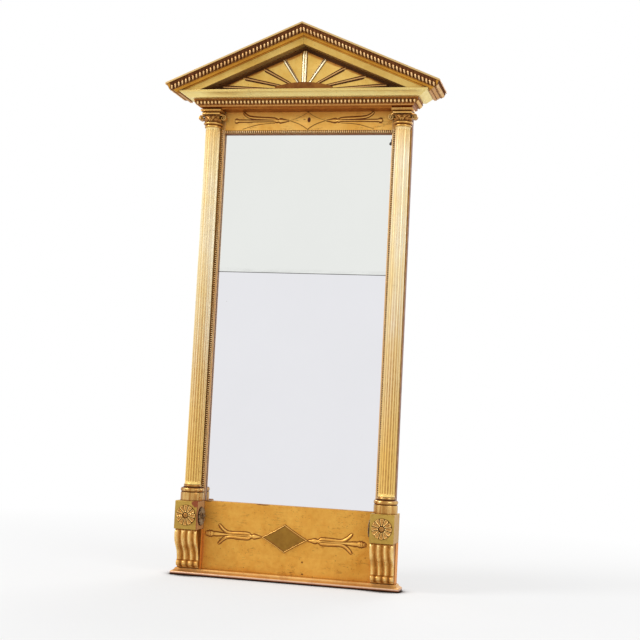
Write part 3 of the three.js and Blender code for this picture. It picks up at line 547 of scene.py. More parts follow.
scrollGilding = makeGilding("scrollGilding", {
    "gold": (1.0, 0.82, 0.4), "deep": (0.94, 0.62, 0.2), "shade": (0.56, 0.23, 0.03),
    "dirtAndShade": (0.13, 0.035, 0.004), "clay": (0.42, 0.18, 0.09), "rough": 0.26, "metal": 0.7,
    "dirtShadeReach": 0.003, "wearStart": 0.54, "streaks": 0.55})
flowerGilding = makeGilding("flowerGilding", {
    "gold": (1.0, 0.7, 0.27), "deep": (0.8, 0.5, 0.14), "shade": (0.4, 0.15, 0.022),
    "dirtAndShade": (0.07, 0.018, 0.003), "rough": 0.26, "dirtShadeReach": 0.002})
clayGilding = makeGilding("clayGilding", {
    "gold": (0.56, 0.22, 0.03), "deep": (0.44, 0.14, 0.02), "wearStart": 0.52, "flatWear": 0.2,
    "metal": 0.5, "dirtShadeReach": 0.003, "sideColour": (0.95, 0.38, 0.07), "sideTone": 0.9})
footingGilding = makeGilding("footingGilding", {
    "gold": (0.9, 0.56, 0.2), "deep": (0.66, 0.33, 0.09), "clay": (0.36, 0.11, 0.06), "wearStart": 0.5,
    "flatWear": 0.2, "metal": 0.6, "shadowLineTop": 0.0052,
    # the first tone is a painted highlight band low on the moulding; the second reddens its lowest few
    # millimetres
    "tones": [(0.011, 0.0095, (0.8, 0.52, 0.36)), (0.007, 0.006, (0.3, 0.1, 0.045))]})
fanGilding = makeGilding("fanGilding", {
    "gold": (0.84, 0.58, 0.17), "deep": (0.68, 0.42, 0.09), "shade": (0.5, 0.2, 0.035),
    "dirtAndShade": (0.2, 0.065, 0.013), "dirtShadeReach": 0.002, "rough": 0.32, "mottle": 0.3, "scratches": 0.2})
ribGilding = makeGilding("ribGilding", {
    "gold": (0.72, 0.44, 0.17), "deep": (0.54, 0.28, 0.09), "shade": (0.2, 0.07, 0.015),
    "dirtAndShade": (0.07, 0.02, 0.003), "dirtShadeReach": 0.001, "rough": 0.24})
keyGilding = makeGilding("keyGilding", {
    "gold": (1.0, 0.92, 0.66), "deep": (0.95, 0.82, 0.5), "shade": (0.5, 0.24, 0.05), "dirtShadeReach": 0.001,
    "rough": 0.3, "metal": 0.8, "mottle": 0.1, "sheets": 0.1, "bump": 0.08})
# grey and dark: tarnish and painted shade, for the rosettes on the shaded inner sides
tarnishedShadeGilding = makeGilding("tarnishedShadeGilding", {
    "gold": (0.52, 0.4, 0.25), "deep": (0.34, 0.22, 0.12), "shade": (0.11, 0.06, 0.028), "metal": 0.7,
    "rough": 0.42, "dirtShadeReach": 0.002})
hubGilding = makeGilding("hubGilding", {
    "gold": (0.34, 0.13, 0.02), "deep": (0.22, 0.07, 0.012), "metal": 0.35, "rough": 0.45,
    "dirtShadeReach": 0.003, "mottle": 0.4, "patchScale": 22.0})
# near black: painted shade of the recess behind the fan
recessShadePaint = makeGilding("recessShadePaint", {
    "gold": (0.1, 0.035, 0.006), "deep": (0.06, 0.02, 0.004), "metal": 0.1, "rough": 0.6})


def makeWood(name, grain, tone, dark):
    # old softwood, with its grain along the axis that has the small number
    material, tree, shader = newMaterial(name)
    coords = objectCoords(tree)
    drawn = addNode(tree, "ShaderNodeMapping", {"Vector": coords, "Scale": grain}).outputs[0]
    warp = noiseOf(tree, drawn, 5, 3)
    rings = addNode(tree, "ShaderNodeTexWave",
                    {"Vector": drawn, "Scale": 24.0, "Distortion": 7.0, "Detail": 3.0},
                    wave_type="RINGS", rings_direction="SPHERICAL").outputs["Fac"]
    fibre = noiseOf(tree, coords, 160, 4, 0.6, grain)
    colour = mixColour(tree, remap(tree, rings, 0.2, 0.9, 0, 0.4), tone, dark)
    colour = mixColour(tree, remap(tree, warp, 0.35, 0.7, 0, 0.5), colour, dark)
    colour = mixColour(tree, remap(tree, fibre, 0.4, 0.7, 0, 0.5), colour, tuple(c * 0.5 for c in dark))
    # painted shade: darker in corners and recesses where something stands near
    paintedShade = remap(tree, opennessOf(tree, 0.02, 6), 0.8, 0.3)
    colour = mixColour(tree, paintedShade, colour, (0.03, 0.018, 0.01))
    rough = remap(tree, fibre, 0.2, 0.8, 0.6, 0.85)
    feedShader(tree, shader, {"Base Color": colour, "Roughness": rough}, fibre, 0.35, 0.0008)
    return material


levelPine = makeWood("levelPine", (0.12, 1, 1), (0.36, 0.21, 0.1), (0.2, 0.1, 0.045))

stileLook = {
    # each face of the stile: its paler and its darker colour
    "wash": ((0.33, 0.13, 0.06), (0.2, 0.07, 0.032)), "bare": ((0.36, 0.21, 0.1), (0.2, 0.105, 0.05)),
    "gold": ((0.6, 0.34, 0.09), (0.4, 0.19, 0.05)), "lip": ((0.74, 0.43, 0.19), (0.2, 0.085, 0.035)),
    "lipFront": (0.8, 0.48, 0.2), "paintedShade": (0.05, 0.018, 0.007),
    # metres from the middle where the lip beside the glass begins, and across the depth of its dark part, a
    # painted shadow in the rebate by the glass
    "innerFrom": (0.2868, 0.2858), "lipDepth": (0.056, 0.06),
}


def makeStile(look):
    # gilded in front, washed red-brown outside, bronzed beside the glass, bare behind
    material, tree, shader = newMaterial("stileFinish")
    coords, facing = objectCoords(tree), facingOf(tree)
    where = axesOf(tree, coords)
    mottled = noiseOf(tree, coords, 40, 5, 0.65)
    streaks = noiseOf(tree, coords, 90, 4, 0.6, (1, 1, 0.1))
    patchy = remap(tree, mottled, 0.35, 0.65)
    wash = mixColour(tree, patchy, *look["wash"])
    bare = mixColour(tree, remap(tree, streaks, 0.35, 0.65), *look["bare"])
    gold = mixColour(tree, patchy, *look["gold"])
    front = remap(tree, facing[1], -0.5, -0.8)
    inner = remap(tree, calc(tree, "ABSOLUTE", where[0]), *look["innerFrom"])
    # the lip darkens further back, beside the glass: painted shadow in the rebate
    lip = mixColour(tree, remap(tree, where[1], *look["lipDepth"]), *look["lip"])
    wash = mixColour(tree, inner, wash, lip)
    gold = mixColour(tree, inner, gold, look["lipFront"])
    colour = mixColour(tree, remap(tree, facing[1], 0.5, 0.8), wash, bare)
    colour = mixColour(tree, front, colour, gold)
    # painted shade in corners and recesses, but not on the lip by the glass
    paintedShade = remap(tree, opennessOf(tree, 0.006, 6), 0.75, 0.3)
    colour = mixColour(tree, times(tree, paintedShade, minus(tree, 1.0, inner)), colour, look["paintedShade"])
    feedShader(tree, shader, {"Base Color": colour, "Metallic": times(tree, front, 0.7),
                              "Roughness": remap(tree, mottled, 0.3, 0.7, 0.4, 0.6)}, streaks, 0.25, 0.0006)
    return material


stileFinish = makeStile(stileLook)


def makeSilvering(name, look):
    # old mirror glass: nearly clean, a little clouded, with its silvering lost near the edges
    material, tree, shader = newMaterial(name)
    coords = objectCoords(tree)
    cloud = noiseOf(tree, coords, 3.5, 5, 0.6)
    tint = look["tint"]
    colour = mixColour(tree, remap(tree, cloud, 0.35, 0.7, 0, 0.35), tint, tuple(c * 0.955 for c in tint))
    spots = remap(tree, cellsOf(tree, coords, 34.0), 0.07, 0.03)
    spots = times(tree, spots, remap(tree, noiseOf(tree, coords, 5, 2), 0.6, 0.7))
    lost = times(tree, spots, 0.35)
    for centre, radii in look["losses"]:
        lost = larger(tree, lost, patchMask(tree, coords, centre, radii, 0.9))
    # the two plates meet at a dark line, smudged above it
    fromJoin = minus(tree, axesOf(tree, coords)[2], look["joinZ"])
    line = remap(tree, calc(tree, "ABSOLUTE", fromJoin), 0.0014, 0.0008, 0, 0.9)
    broken = remap(tree, noiseOf(tree, coords, 26, 4, 0.65, (0.5, 1, 2)), 0.42, 0.66)
    smudge = times(tree, remap(tree, fromJoin, 0.016, 0.001, 0, look["smudge"]), broken)
    lost = larger(tree, lost, larger(tree, line, smudge))
    colour = mixColour(tree, lost, colour, (0.012, 0.01, 0.01))
    feedShader(tree, shader, {"Base Color": colour, "Metallic": remap(tree, lost, 0, 1, 1, 0),
                              "Roughness": remap(tree, cloud, 0.3, 0.7, 0.015, 0.04)},
               noiseOf(tree, coords, 2.2, 1), 0.05, 0.002)
    return material


def makeIron():
    material, tree, shader = newMaterial("forgedIron")
    coords = objectCoords(tree)
    scale = noiseOf(tree, coords, 220, 5, 0.7)
    rust = remap(tree, noiseOf(tree, coords, 70, 4, 0.7), 0.5, 0.68)
    colour = mixColour(tree, remap(tree, scale, 0.3, 0.7), (0.06, 0.055, 0.052), (0.15, 0.14, 0.13))
    colour = mixColour(tree, rust, colour, (0.17, 0.07, 0.03))
    feedShader(tree, shader, {"Base Color": colour, "Metallic": remap(tree, rust, 0, 1, 0.9, 0.1),
                              "Roughness": remap(tree, scale, 0.3, 0.7, 0.4, 0.65)}, scale, 0.4, 0.0003)
    return material


forgedIron = makeIron()
print("finishes made")


def startTree(name, sockets):
    # a node tree with named inputs, and what comes in through them
    tree = bpy.data.node_groups.new(name, "GeometryNodeTree")
    for socket, kind in sockets.items():
        tree.interface.new_socket(name=socket, in_out="INPUT", socket_type="NodeSocket" + kind)
    tree.interface.new_socket(name="Geometry", in_out="OUTPUT", socket_type="NodeSocketGeometry")
    return tree, addNode(tree, "NodeGroupInput").outputs


def endTree(tree, geometry, finish):
    painted = addNode(tree, "GeometryNodeSetMaterial", {"Geometry": geometry, "Material": finish})
    tree.links.new(painted.outputs[0], addNode(tree, "NodeGroupOutput").inputs[0])


def makeRowTree():
    tree, given = startTree("carvedRow", {
        "Geometry": "Geometry", "Start": "Vector", "End": "Vector", "Count": "Int", "Turn": "Vector",
        "Unit": "Object", "Unevenness": "Float", "Seed": "Int", "Finish": "Material"})
    line = addNode(tree, "GeometryNodeMeshLine", {"Count": given["Count"], "Start Location": given["Start"],
                                                  "Offset": given["End"]}, mode="END_POINTS")
    unit = addNode(tree, "GeometryNodeObjectInfo", {"Object": given["Unit"]})
    smallest, largest = minus(tree, 1.0, given["Unevenness"]), plus(tree, 1.0, given["Unevenness"])
    size = addNode(tree, "FunctionNodeRandomValue", {2: smallest, 3: largest, "Seed": given["Seed"]},
                   data_type="FLOAT")
    row = addNode(tree, "GeometryNodeInstanceOnPoints",
                  {"Points": line.outputs[0], "Instance": unit.outputs["Geometry"],
                   "Rotation": given["Turn"], "Scale": size.outputs[1]})
    # the band that the row stands on, if it has one, is joined with it
    both = addNode(tree, "GeometryNodeJoinGeometry", {0: given["Geometry"]})
    tree.links.new(row.outputs[0], both.inputs[0])
    solid = addNode(tree, "GeometryNodeRealizeInstances", {0: both.outputs[0]})
    endTree(tree, solid.outputs[0], given["Finish"])
    return tree


rowTree = makeRowTree()


def setInputs(made, tree, values):
    modifier = made.modifiers.new(tree.name, "NODES")
    modifier.node_group = tree
    for item in tree.interface.items_tree:
        if item.item_type == "SOCKET" and item.in_out == "INPUT" and item.name in values:
            modifier[item.identifier] = values[item.name]


def addRow(made, unit, ends, count, axes, seed, finish, unevenness=0.04):
    # axes: the unit's own X, Y and Z in the frame
    turn = Matrix(axes).transposed().to_euler()
    setInputs(made, rowTree, {"Start": ends[0][:3], "End": ends[1][:3], "Count": count, "Turn": list(turn),
                              "Unit": unit, "Unevenness": unevenness, "Seed": seed, "Finish": finish})


def settle(made, sharpAngle=50):
    # turns what the trees made into plain mesh
    graph = bpy.context.evaluated_depsgraph_get()
    mesh = bpy.data.meshes.new_from_object(made.evaluated_get(graph))
    made.modifiers.clear()
    made.data = mesh
    smoothFaces(mesh, sharpAngle)
    return made


def unitObject(name, shells, finish):
    made = buildObject(name, shells, finish)
    made.hide_render = made.hide_viewport = True
    return made


def dropUnits(*units):
    # the carved units aren't pieces, so they go once their rows are made
    for unit in units:
        bpy.data.objects.remove(unit)


def unitPoint(x, y, lift, hollow):
    return Vector((x / 1000, y / 1000, lift / 1000, hollow))


domeShape = {"segments": 8, "levels": 3, "sink": 1.2}


def dome(halfWidth, halfLength, height, bareTop, centreY=0.0, taper=0.0):
    # an egg or bead lying on its band, in millimetres
    segments, levels = domeShape["segments"], domeShape["levels"]
    rings = []
    for level in range(levels):
        lift = math.radians(90 * level / levels)
        hollow = max(0, 1 - math.sin(lift) / bareTop)
        ring = []
        for step in range(segments):
            turn = 2 * math.pi * step / segments
            y = math.sin(turn) * halfLength * math.cos(lift)
            x = math.cos(turn) * halfWidth * math.cos(lift) * (1 + taper * y / halfLength)
            ring.append(unitPoint(x, centreY + y, height * math.sin(lift), hollow))
        rings.append(ring)
    rings.insert(0, [Vector((point.x, point.y, -domeShape["sink"] / 1000, 1)) for point in rings[0]])
    return poleShell(rings, unitPoint(0, centreY, height, 0))


eggShape = {
    # the half width is a share of the pitch, the height is in millimetres
    "halfWidth": 0.34, "height": 5.2, "taper": 0.16, "bareTop": 0.7,
    # the shell round the egg's foot: out as a share of the pitch, lift and dirt with painted shade
    "shell": ((0.37, -1, 1), (0.4, 2.2, 0.7), (0.44, 2.9, 0.25), (0.48, -1, 1)),
    "shellStart": 160, "shellTurn": 220, "shellSteps": 8,
    # the dart: place as a share of the band and half width, then side, lift and dirt with painted shade of
    # its section
    "dart": ((-0.48, 0.5), (0.1, 1.0), (0.46, 1.7)),
    "dartSection": ((-1, -1, 1), (0, 2.4, 0.75), (1, -1, 1)),
    # the ground, dark with painted shade between the eggs: place as a share of the band, and lift
    "ground": ((-0.5, -0.8), (-0.5, 0.5), (-0.3, 0.55), (-0.1, 0.6), (0.1, 0.6), (0.3, 0.55), (0.5, 0.5),
               (0.5, -0.8)),
}


def eggShells(pitch, length, share, middle, bulge, lean=0.0):
    # an egg, the shell round its foot, a dart beside it and the ground under them, dark with painted shade,
    # on a band that bulges
    shape = eggShape
    egg = dome(shape["halfWidth"] * pitch, share * length, shape["height"], shape["bareTop"],
               centreY=middle * length, taper=shape["taper"])
    rings = []
    for step in range(shape["shellSteps"] + 1):
        turn = math.radians(shape["shellStart"] + shape["shellTurn"] * step / shape["shellSteps"])
        cos, sin = math.cos(turn), math.sin(turn)
        rings.append([unitPoint(cos * out * pitch, sin * (out + 0.03) * length, lift, hollow)
                      for out, lift, hollow in shape["shell"]])
    dart = [[unitPoint(pitch / 2 + side * half, y * length, lift, hollow)
             for side, lift, hollow in shape["dartSection"]] for y, half in shape["dart"]]
    ground = [[unitPoint(x * pitch, y * length, lift, 1) for y, lift in shape["ground"]] for x in (-0.5, 0.5)]
    made = []
    for points, faces in (egg, loftShell(rings), loftShell(dart), loftShell(ground)):
        moved = []
        for point in points:
            rise = bulge / 1000 * max(0, 1 - (point.y * 2000 / length) ** 2)
            moved.append(Vector((point.x + lean * point.y, point.y, point.z + rise, point.w)))
        made.append((moved, faces))
    return made


bandShape = {
    # low and high edge of each band, out from its board and up from its foot
    "rakingOut": 133, "rakingLow": (12, 12), "rakingHigh": (27, 32.5), "rakingTop": 38.6,
    "bedLow": (14.5, 13.5), "bedHigh": (26.5, 27), "pitch": 12.8, "bedPitch": 12.6, "lean": 0.4,
    # half length and middle of the egg as shares of its band, and the bulge of the band
    "raking": (0.35, -0.08, 2.7), "bed": (0.42, -0.03, 1.2), "eaveZ": 1606.0,
}
boardTop = nodeBox("right_raking_board")[5]
halfPediment, pedimentDepth, apexZ = [nodeBox("right_raking_moulding")[index] for index in (1, 3, 5)]
slope = (apexZ - bandShape["eaveZ"]) / halfPediment
cosSlope, sinSlope = math.cos(math.atan(slope)), math.sin(math.atan(slope))
cornerOffset = halfPediment - pedimentDepth


def bandAxes(tangent, side, run):
    # the frame axes of a band unit; tangent is the band's rise in its section
    out, up = tangent
    if run == "front":
        return [(1, 0, 0), (0, -out, up), (0, -up, -out)]
    if run == "return":
        return [(0, side, 0), (side * out, 0, up), (side * up, 0, -out)]
    along = (cosSlope, 0, -side * sinSlope)
    square = (side * sinSlope, 0, cosSlope)
    return [along, (up * square[0], -out, up * square[2]), (-out * square[0], -up, -out * square[2])]


def unitVector(first, second):
    length = math.hypot(second[0] - first[0], second[1] - first[1])
    return ((second[0] - first[0]) / length, (second[1] - first[1]) / length), length


def rakingPoint(x, out, rise, side):
    # on the sloping moulding: distance from the middle, forward of the board, square to the slope
    z = boardTop - slope * (x - rise * sinSlope) + rise * cosSlope
    return place(side * x, bandShape["rakingOut"] + out, z)


def returnPoint(point):
    # the same band where it turns the corner
    x = cornerOffset + bandShape["rakingOut"] + point[0]
    eave = bandShape["eaveZ"] + slope * (halfPediment - x)
    return x, eave - (bandShape["rakingTop"] - point[1]) / cosSlope


def buildRakingEggs():
    shape = bandShape
    pitch, low, high = shape["pitch"], shape["rakingLow"], shape["rakingHigh"]
    tangent, length = unitVector(low, high)
    out, rise = between(low, high, 0.5)
    # on the slopes the eggs lean towards the top
    slopeEggs = {side: unitObject("rakingEggUnit", eggShells(pitch, length, *shape["raking"],
                                                             -side * shape["lean"]), eggGilding)
                 for side in (-1, 1)}
    returnTangent, returnLength = unitVector(returnPoint(low), returnPoint(high))
    returnEgg = unitObject("returnEggUnit", eggShells(pitch, returnLength, *shape["raking"]), eggGilding)
    farX, farDepth = cornerOffset + shape["rakingOut"] + out, shape["rakingOut"] + out
    x, z = returnPoint((out, rise))
    for side, word in bothSides:
        made = buildObject(word + "_raking_eggs", [], eggGilding)
        ends = [rakingPoint(start, out, rise, side) for start in (pitch / 2, farX - pitch / 2)][::side]
        addRow(made, slopeEggs[side], ends, round((farX - pitch) / cosSlope / pitch) + 1,
               bandAxes(tangent, side, "slope"), 3 + side, eggGilding)
        ends = [place(side * x, depth, z) for depth in (pitch / 2, farDepth - pitch / 2)]
        addRow(made, returnEgg, ends, round((farDepth - pitch) / pitch) + 1,
               bandAxes(returnTangent, side, "return"), 7 + side, eggGilding)
        finishPiece(settle(made))
    dropUnits(*slopeEggs.values(), returnEgg)


def buildBedEggs():
    shape = bandShape
    pitch, low, high = shape["bedPitch"], shape["bedLow"], shape["bedHigh"]
    tangent, length = unitVector(low, high)
    egg = unitObject("bedEggUnit", eggShells(pitch, length, *shape["bed"]), bedEggGilding)
    edgeX, box = nodeBox("right_stile")[1], nodeBox("bed_moulding_front")
    out, rise = between(low, high, 0.5)
    x, depth, z = edgeX + out, box[3] - (box[1] - edgeX) + out, box[4] + rise
    made = buildObject("bed_eggs", [], bedEggGilding)
    half, far = x - pitch / 2, depth - pitch / 2
    addRow(made, egg, [place(-half, depth, z), place(half, depth, z)], round(2 * half / pitch) + 1,
           bandAxes(tangent, 1, "front"), 11, bedEggGilding)
    for side in (-1, 1):
        addRow(made, egg, [place(side * x, pitch / 2, z), place(side * x, far, z)],
               round((far - pitch / 2) / pitch) + 1, bandAxes(tangent, side, "return"), 13 + side,
               bedEggGilding)
    finishPiece(settle(made))
    dropUnits(egg)


buildRakingEggs()
buildBedEggs()
print("egg bands carved")


beadRow = {"pitch": 6.8, "halfLength": 2.45, "height": 4.2, "bareTop": 0.3, "fillet": 2.0, "trough": 0.5,
           "sideShare": 0.7, "topShare": 1.0, "topDrop": 2.2, "unevenness": 0.06}


def buildBeadStrip(node):
    left, right, near, _, low, high = nodeBox(node)
    level = node.startswith("top")
    pitch, trough = beadRow["pitch"], near + beadRow["trough"]
    if level:
        low, high = low - beadRow["topDrop"], high - beadRow["topDrop"]
        width, share = high - low, beadRow["topShare"]
    else:
        width, share = right - left, beadRow["sideShare"]
        inner, outwards = (right, -1) if node.startswith("left") else (left, 1)

    # across runs from the glass outwards, along from one end of the strip to the other
    def stripPoint(along, across, depth, hollow=0.0):
        if level:
            return place(along, depth, low + across, hollow)
        return place(inner + outwards * across, depth, along, hollow)

    start, end = (left, right) if level else (low, high)
    fillet = width * (1 - share)
    section = [(0, 0, 1), (0, 1.0, 0.4), (0.3, beadRow["fillet"], 0), (fillet - 0.5, beadRow["fillet"], 0),
               (fillet, beadRow["trough"], 1), (width, beadRow["trough"], 1), (width, 0, 1)]
    rings = [[stripPoint(along, across, near + out, hollow) for across, out, hollow in section]
             for along in (start, end)]
    made = buildObject(node + "_beads", [loftShell(rings)], beadGilding)
    halfBead = width * share / 2
    unit = unitObject("beadUnit", [dome(beadRow["halfLength"], halfBead, beadRow["height"],
                                        beadRow["bareTop"])], beadGilding)
    ends = [stripPoint(along, width - halfBead, trough) for along in (start + pitch / 2, end - pitch / 2)]
    axes = [(1, 0, 0), (0, 0, 1), (0, -1, 0)] if level else [(0, 0, 1), (-1, 0, 0), (0, -1, 0)]
    addRow(made, unit, ends, round((end - start) / pitch), axes, 21, beadGilding, beadRow["unevenness"])
    finishPiece(settle(made), [node])
    dropUnits(unit)


for node in ("left_bead_strip", "right_bead_strip", "top_bead_strip"):
    buildBeadStrip(node)
print("beads carved")


columnX = sum(nodeBox("right_column_shaft")[:2]) / 2
backOfColumn = nodeBox("right_column_shaft")[2]
columnDepth = 42.0
shaftShape = {"foot": 26.5, "neck": 23.8, "flutes": 18, "fluteDepth": 2.5, "fluteShare": 0.74, "stop": 6.0,
              "lowStart": 7, "highEnd": 6, "swell": 0.35, "stepsPerFlute": 10, "openAngle": 122,
              "fluteShade": 0.42}


def frontRing(radius, side, z, steps, openAngle, hollow=0.0):
    # an open round, closed flat against the carcass
    ring = []
    for step in range(steps + 1):
        turn = math.radians(openAngle) * (2 * step / steps - 1)
        ring.append(place(side * (columnX + radius * math.sin(turn)), columnDepth + radius * math.cos(turn),
                          z, hollow))
    for edge in (ring[-1], ring[0]):
        ring.append(Vector((edge.x, backPlane - backOfColumn / 1000, edge.z, hollow)))
    return ring


def turnedShell(side, low, outline, steps):
    # radius, rise, and dirt with painted shade, of a turned piece whose back is cut flat
    rings = []
    for radius, rise, hollow in outline:
        openAngle = math.degrees(math.acos(-(columnDepth - backOfColumn - 1) / radius))
        rings.append(frontRing(radius, side, low + rise, steps, openAngle, hollow))
    return loftShell(rings)


def makeFluteTree():
    # sinks round-ended flutes in a plain shaft, and stores painted shade in them
    tree, given = startTree("sunkFlutes", {
        "Geometry": "Geometry", "Centre": "Vector", "Flutes": "Int", "Depth": "Float", "Share": "Float",
        "Low": "Float", "High": "Float", "Stop": "Float", "Back": "Float", "FluteShade": "Float",
        "Finish": "Material"})
    position = addNode(tree, "GeometryNodeInputPosition").outputs[0]
    height = axesOf(tree, position)[2]
    fromAxis = axesOf(tree, vectorCalc(tree, "SUBTRACT", position, given["Centre"]))
    # aside: how far a point lies from the middle of its flute, then as a share of the flute's half width
    turn = calc(tree, "ARCTAN2", fromAxis[0], times(tree, fromAxis[1], -1.0))
    turns = calc(tree, "DIVIDE", times(tree, turn, given["Flutes"]), 2 * math.pi)
    aside = calc(tree, "ABSOLUTE", minus(tree, turns, calc(tree, "ROUND", turns)))
    across = calc(tree, "DIVIDE", times(tree, aside, 2.0), given["Share"])
    # short: how far a point is gone into the round end of its flute
    fromLow = calc(tree, "DIVIDE", minus(tree, height, given["Low"]), given["Stop"], clamp=True)
    fromHigh = calc(tree, "DIVIDE", minus(tree, given["High"], height), given["Stop"], clamp=True)
    short = minus(tree, 1.0, calc(tree, "MINIMUM", fromLow, fromHigh))
    ends = calc(tree, "SQRT", minus(tree, 1.0, times(tree, short, short)))
    share = calc(tree, "DIVIDE", across, larger(tree, ends, 0.001))
    dish = calc(tree, "SQRT", larger(tree, minus(tree, 1.0, times(tree, share, share)), 0.0))
    cut = times(tree, dish, ends)
    level = addNode(tree, "ShaderNodeCombineXYZ", {0: fromAxis[0], 1: fromAxis[1]}).outputs[0]
    outward = addNode(tree, "ShaderNodeVectorMath", {0: level}, operation="NORMALIZE").outputs[0]
    sink = times(tree, cut, times(tree, given["Depth"], -1.0))
    move = addNode(tree, "ShaderNodeVectorMath", {0: outward, "Scale": sink}, operation="SCALE").outputs[0]
    isFront = addNode(tree, "FunctionNodeCompare", {0: fromAxis[1], 1: given["Back"]}, data_type="FLOAT",
                      operation="LESS_THAN").outputs[0]
    sunk = addNode(tree, "GeometryNodeSetPosition", {"Geometry": given["Geometry"], "Selection": isFront,
                                                     "Offset": move}).outputs[0]
    # the flutes' hollows hold painted shade
    fluteShaded = addNode(tree, "GeometryNodeStoreNamedAttribute", {
        "Geometry": sunk, "Selection": isFront, "Name": "hollow", "Value": times(tree, cut, given["FluteShade"])},
        data_type="FLOAT", domain="POINT").outputs[0]
    solid = addNode(tree, "GeometryNodeRealizeInstances", {0: fluteShaded}).outputs[0]
    endTree(tree, solid, given["Finish"])
    return tree


def buildShafts():
    shape = shaftShape
    fluteTree = makeFluteTree()
    for side, word in bothSides:
        low, high = nodeBox(word + "_column_shaft")[4:]
        start, finish, stop = low + shape["lowStart"], high - shape["highEnd"], shape["stop"]
        # height of each ring and its flare; the rings stand closer where the flutes end
        levels = [(low, 1.6), (low + 2.2, 1.6), (low + 3.0, 0.4), (low + 5, 0)]
        levels += [(start + stop * step / 6, 0) for step in range(7)]
        levels += [(start + stop + (finish - start - 2 * stop) * step / 24, 0) for step in range(1, 24)]
        levels += [(finish - stop + stop * step / 6, 0) for step in range(7)]
        levels += [(high - 3.5, 0), (high - 2.2, 0.9), (high, 0.9)]
        rings = []
        steps = round(2 * shape["openAngle"] / 360 * shape["flutes"] * shape["stepsPerFlute"])
        for z, flare in levels:
            share = (z - low) / (high - low)
            radius = shape["foot"] + (shape["neck"] - shape["foot"]) * share
            radius += shape["swell"] * math.sin(math.pi * share) + flare
            rings.append(frontRing(radius, side, z, steps, shape["openAngle"]))
        made = buildObject(word + "_fluted_shaft", [loftShell(rings)], columnGilding)
        setInputs(made, fluteTree, {
            "Centre": place(side * columnX, columnDepth, 0)[:3], "Flutes": shape["flutes"],
            "Depth": shape["fluteDepth"] / 1000, "Share": shape["fluteShare"], "Low": start / 1000,
            "High": finish / 1000, "Stop": stop / 1000, "Back": (columnDepth - backOfColumn - 0.5) / 1000,
            "FluteShade": shape["fluteShade"], "Finish": columnGilding})
        finishPiece(settle(made, 55), [word + "_column_shaft"])
    print("shafts fluted")


buildShafts()

# radius, height, and dirt with painted shade, of the turned foot of a column
footOutline = [
    (38.2, 0, 0.6), (38.2, 1.2, 0.1), (38.2, 24, 0), (37.6, 26, 0), (35.5, 26.6, 0.5), (35.3, 28, 1),
    (36.6, 28.6, 0.9), (38.0, 30.5, 0.3), (38.8, 33.2, 0), (38.9, 35.6, 0), (38.2, 38.2, 0),
    (36.8, 40.2, 0.3), (35.4, 41, 0.8), (32.5, 41.3, 1), (30.9, 42, 0.9), (30.6, 43.4, 1), (29.0, 44.0, 1),
    (29.6, 45.3, 0.4), (30.0, 47, 0), (29.7, 49, 0.1), (28.9, 50.6, 0.7), (28.2, 51.6, 1)]


def buildFeet():
    for side, word in bothSides:
        low = nodeBox(word + "_column_base")[4]
        made = buildObject(word + "_turned_foot", [turnedShell(side, low, footOutline, 72)], footGilding, 50)
        finishPiece(made, [word + "_column_base"])
    print("feet turned")


buildFeet()


capitalShape = {
    # radius, rise, and dirt with painted shade, of the turned core, from the neck to the head of the bell
    "core": [(25.2, 0, 0.5), (26.6, 0.7, 0.1), (27.6, 2.4, 0), (27.8, 4.2, 0), (27.2, 6.2, 0),
             (25.6, 7.4, 0.4), (24.8, 8.2, 0.8), (24.8, 9.6, 0.6), (27.2, 10.4, 0.5), (30.4, 11.4, 0.1),
             (31.8, 13.2, 0), (31.8, 14.8, 0), (30.4, 16.6, 0.1), (27.2, 17.8, 0.5), (25.2, 18.6, 1),
             (24.6, 20, 1), (25.3, 30, 1), (27.5, 41, 1)],
    # the angles, then rise above the capital's foot, height, width, curl and radius at the foot
    "lowerLeaves": ((-72, -36, 0, 36, 72), (18.5, 13.5, 15.5, 5.0, 25.5)),
    "upperLeaves": ((-92, -54, -18, 18, 54, 92), (19.5, 22.5, 15.5, 6.5, 24.5)),
    "leafRows": 16, "leafColumns": 12, "leafThick": 1.8,
    # out from the axis, rise, depth and half thickness of a scroll's arm
    "arm": [(3.5, 20, 67, 1.2), (6.5, 27, 67, 2.2), (13, 34.5, 63.5, 2.6), (22, 39.8, 57, 2.5),
            (30, 42, 51, 2.1)],
    "armSection": [(-1, -1, 0.9), (-1, 1, 0.2), (-0.6, 0.5, 0.5), (0, 1.1, 0.1), (0.6, 0.5, 0.5), (1, 1, 0),
                   (1.05, 0, 0.15), (1, -1, 0.8)],
    "eye": (38.2, 33.2), "voluteRadius": 8.9, "voluteDepth": 46, "bandDepth": 16.0, "ball": 3.6,
    "corner": 1.2,
    # half width, rise above the bell, and dirt with painted shade, of the square slabs
    "slabs": [(28, 0, 0.8), (30.4, 0.8, 0.3), (31, 2, 0), (31, 5.6, 0), (30.2, 6.6, 0.2), (27.6, 7, 0.9),
              (28, 8.2, 0.9), (30.4, 9.6, 0.7), (33.6, 10.9, 0.2), (35, 11.6, 0), (35, 13.2, 0),
              (34.2, 13.9, 0.5), (34.6, 14.6, 0.2), (35, 15.2, 0), (35, 16.9, 0), (34.5, 17.5, 0)],
}


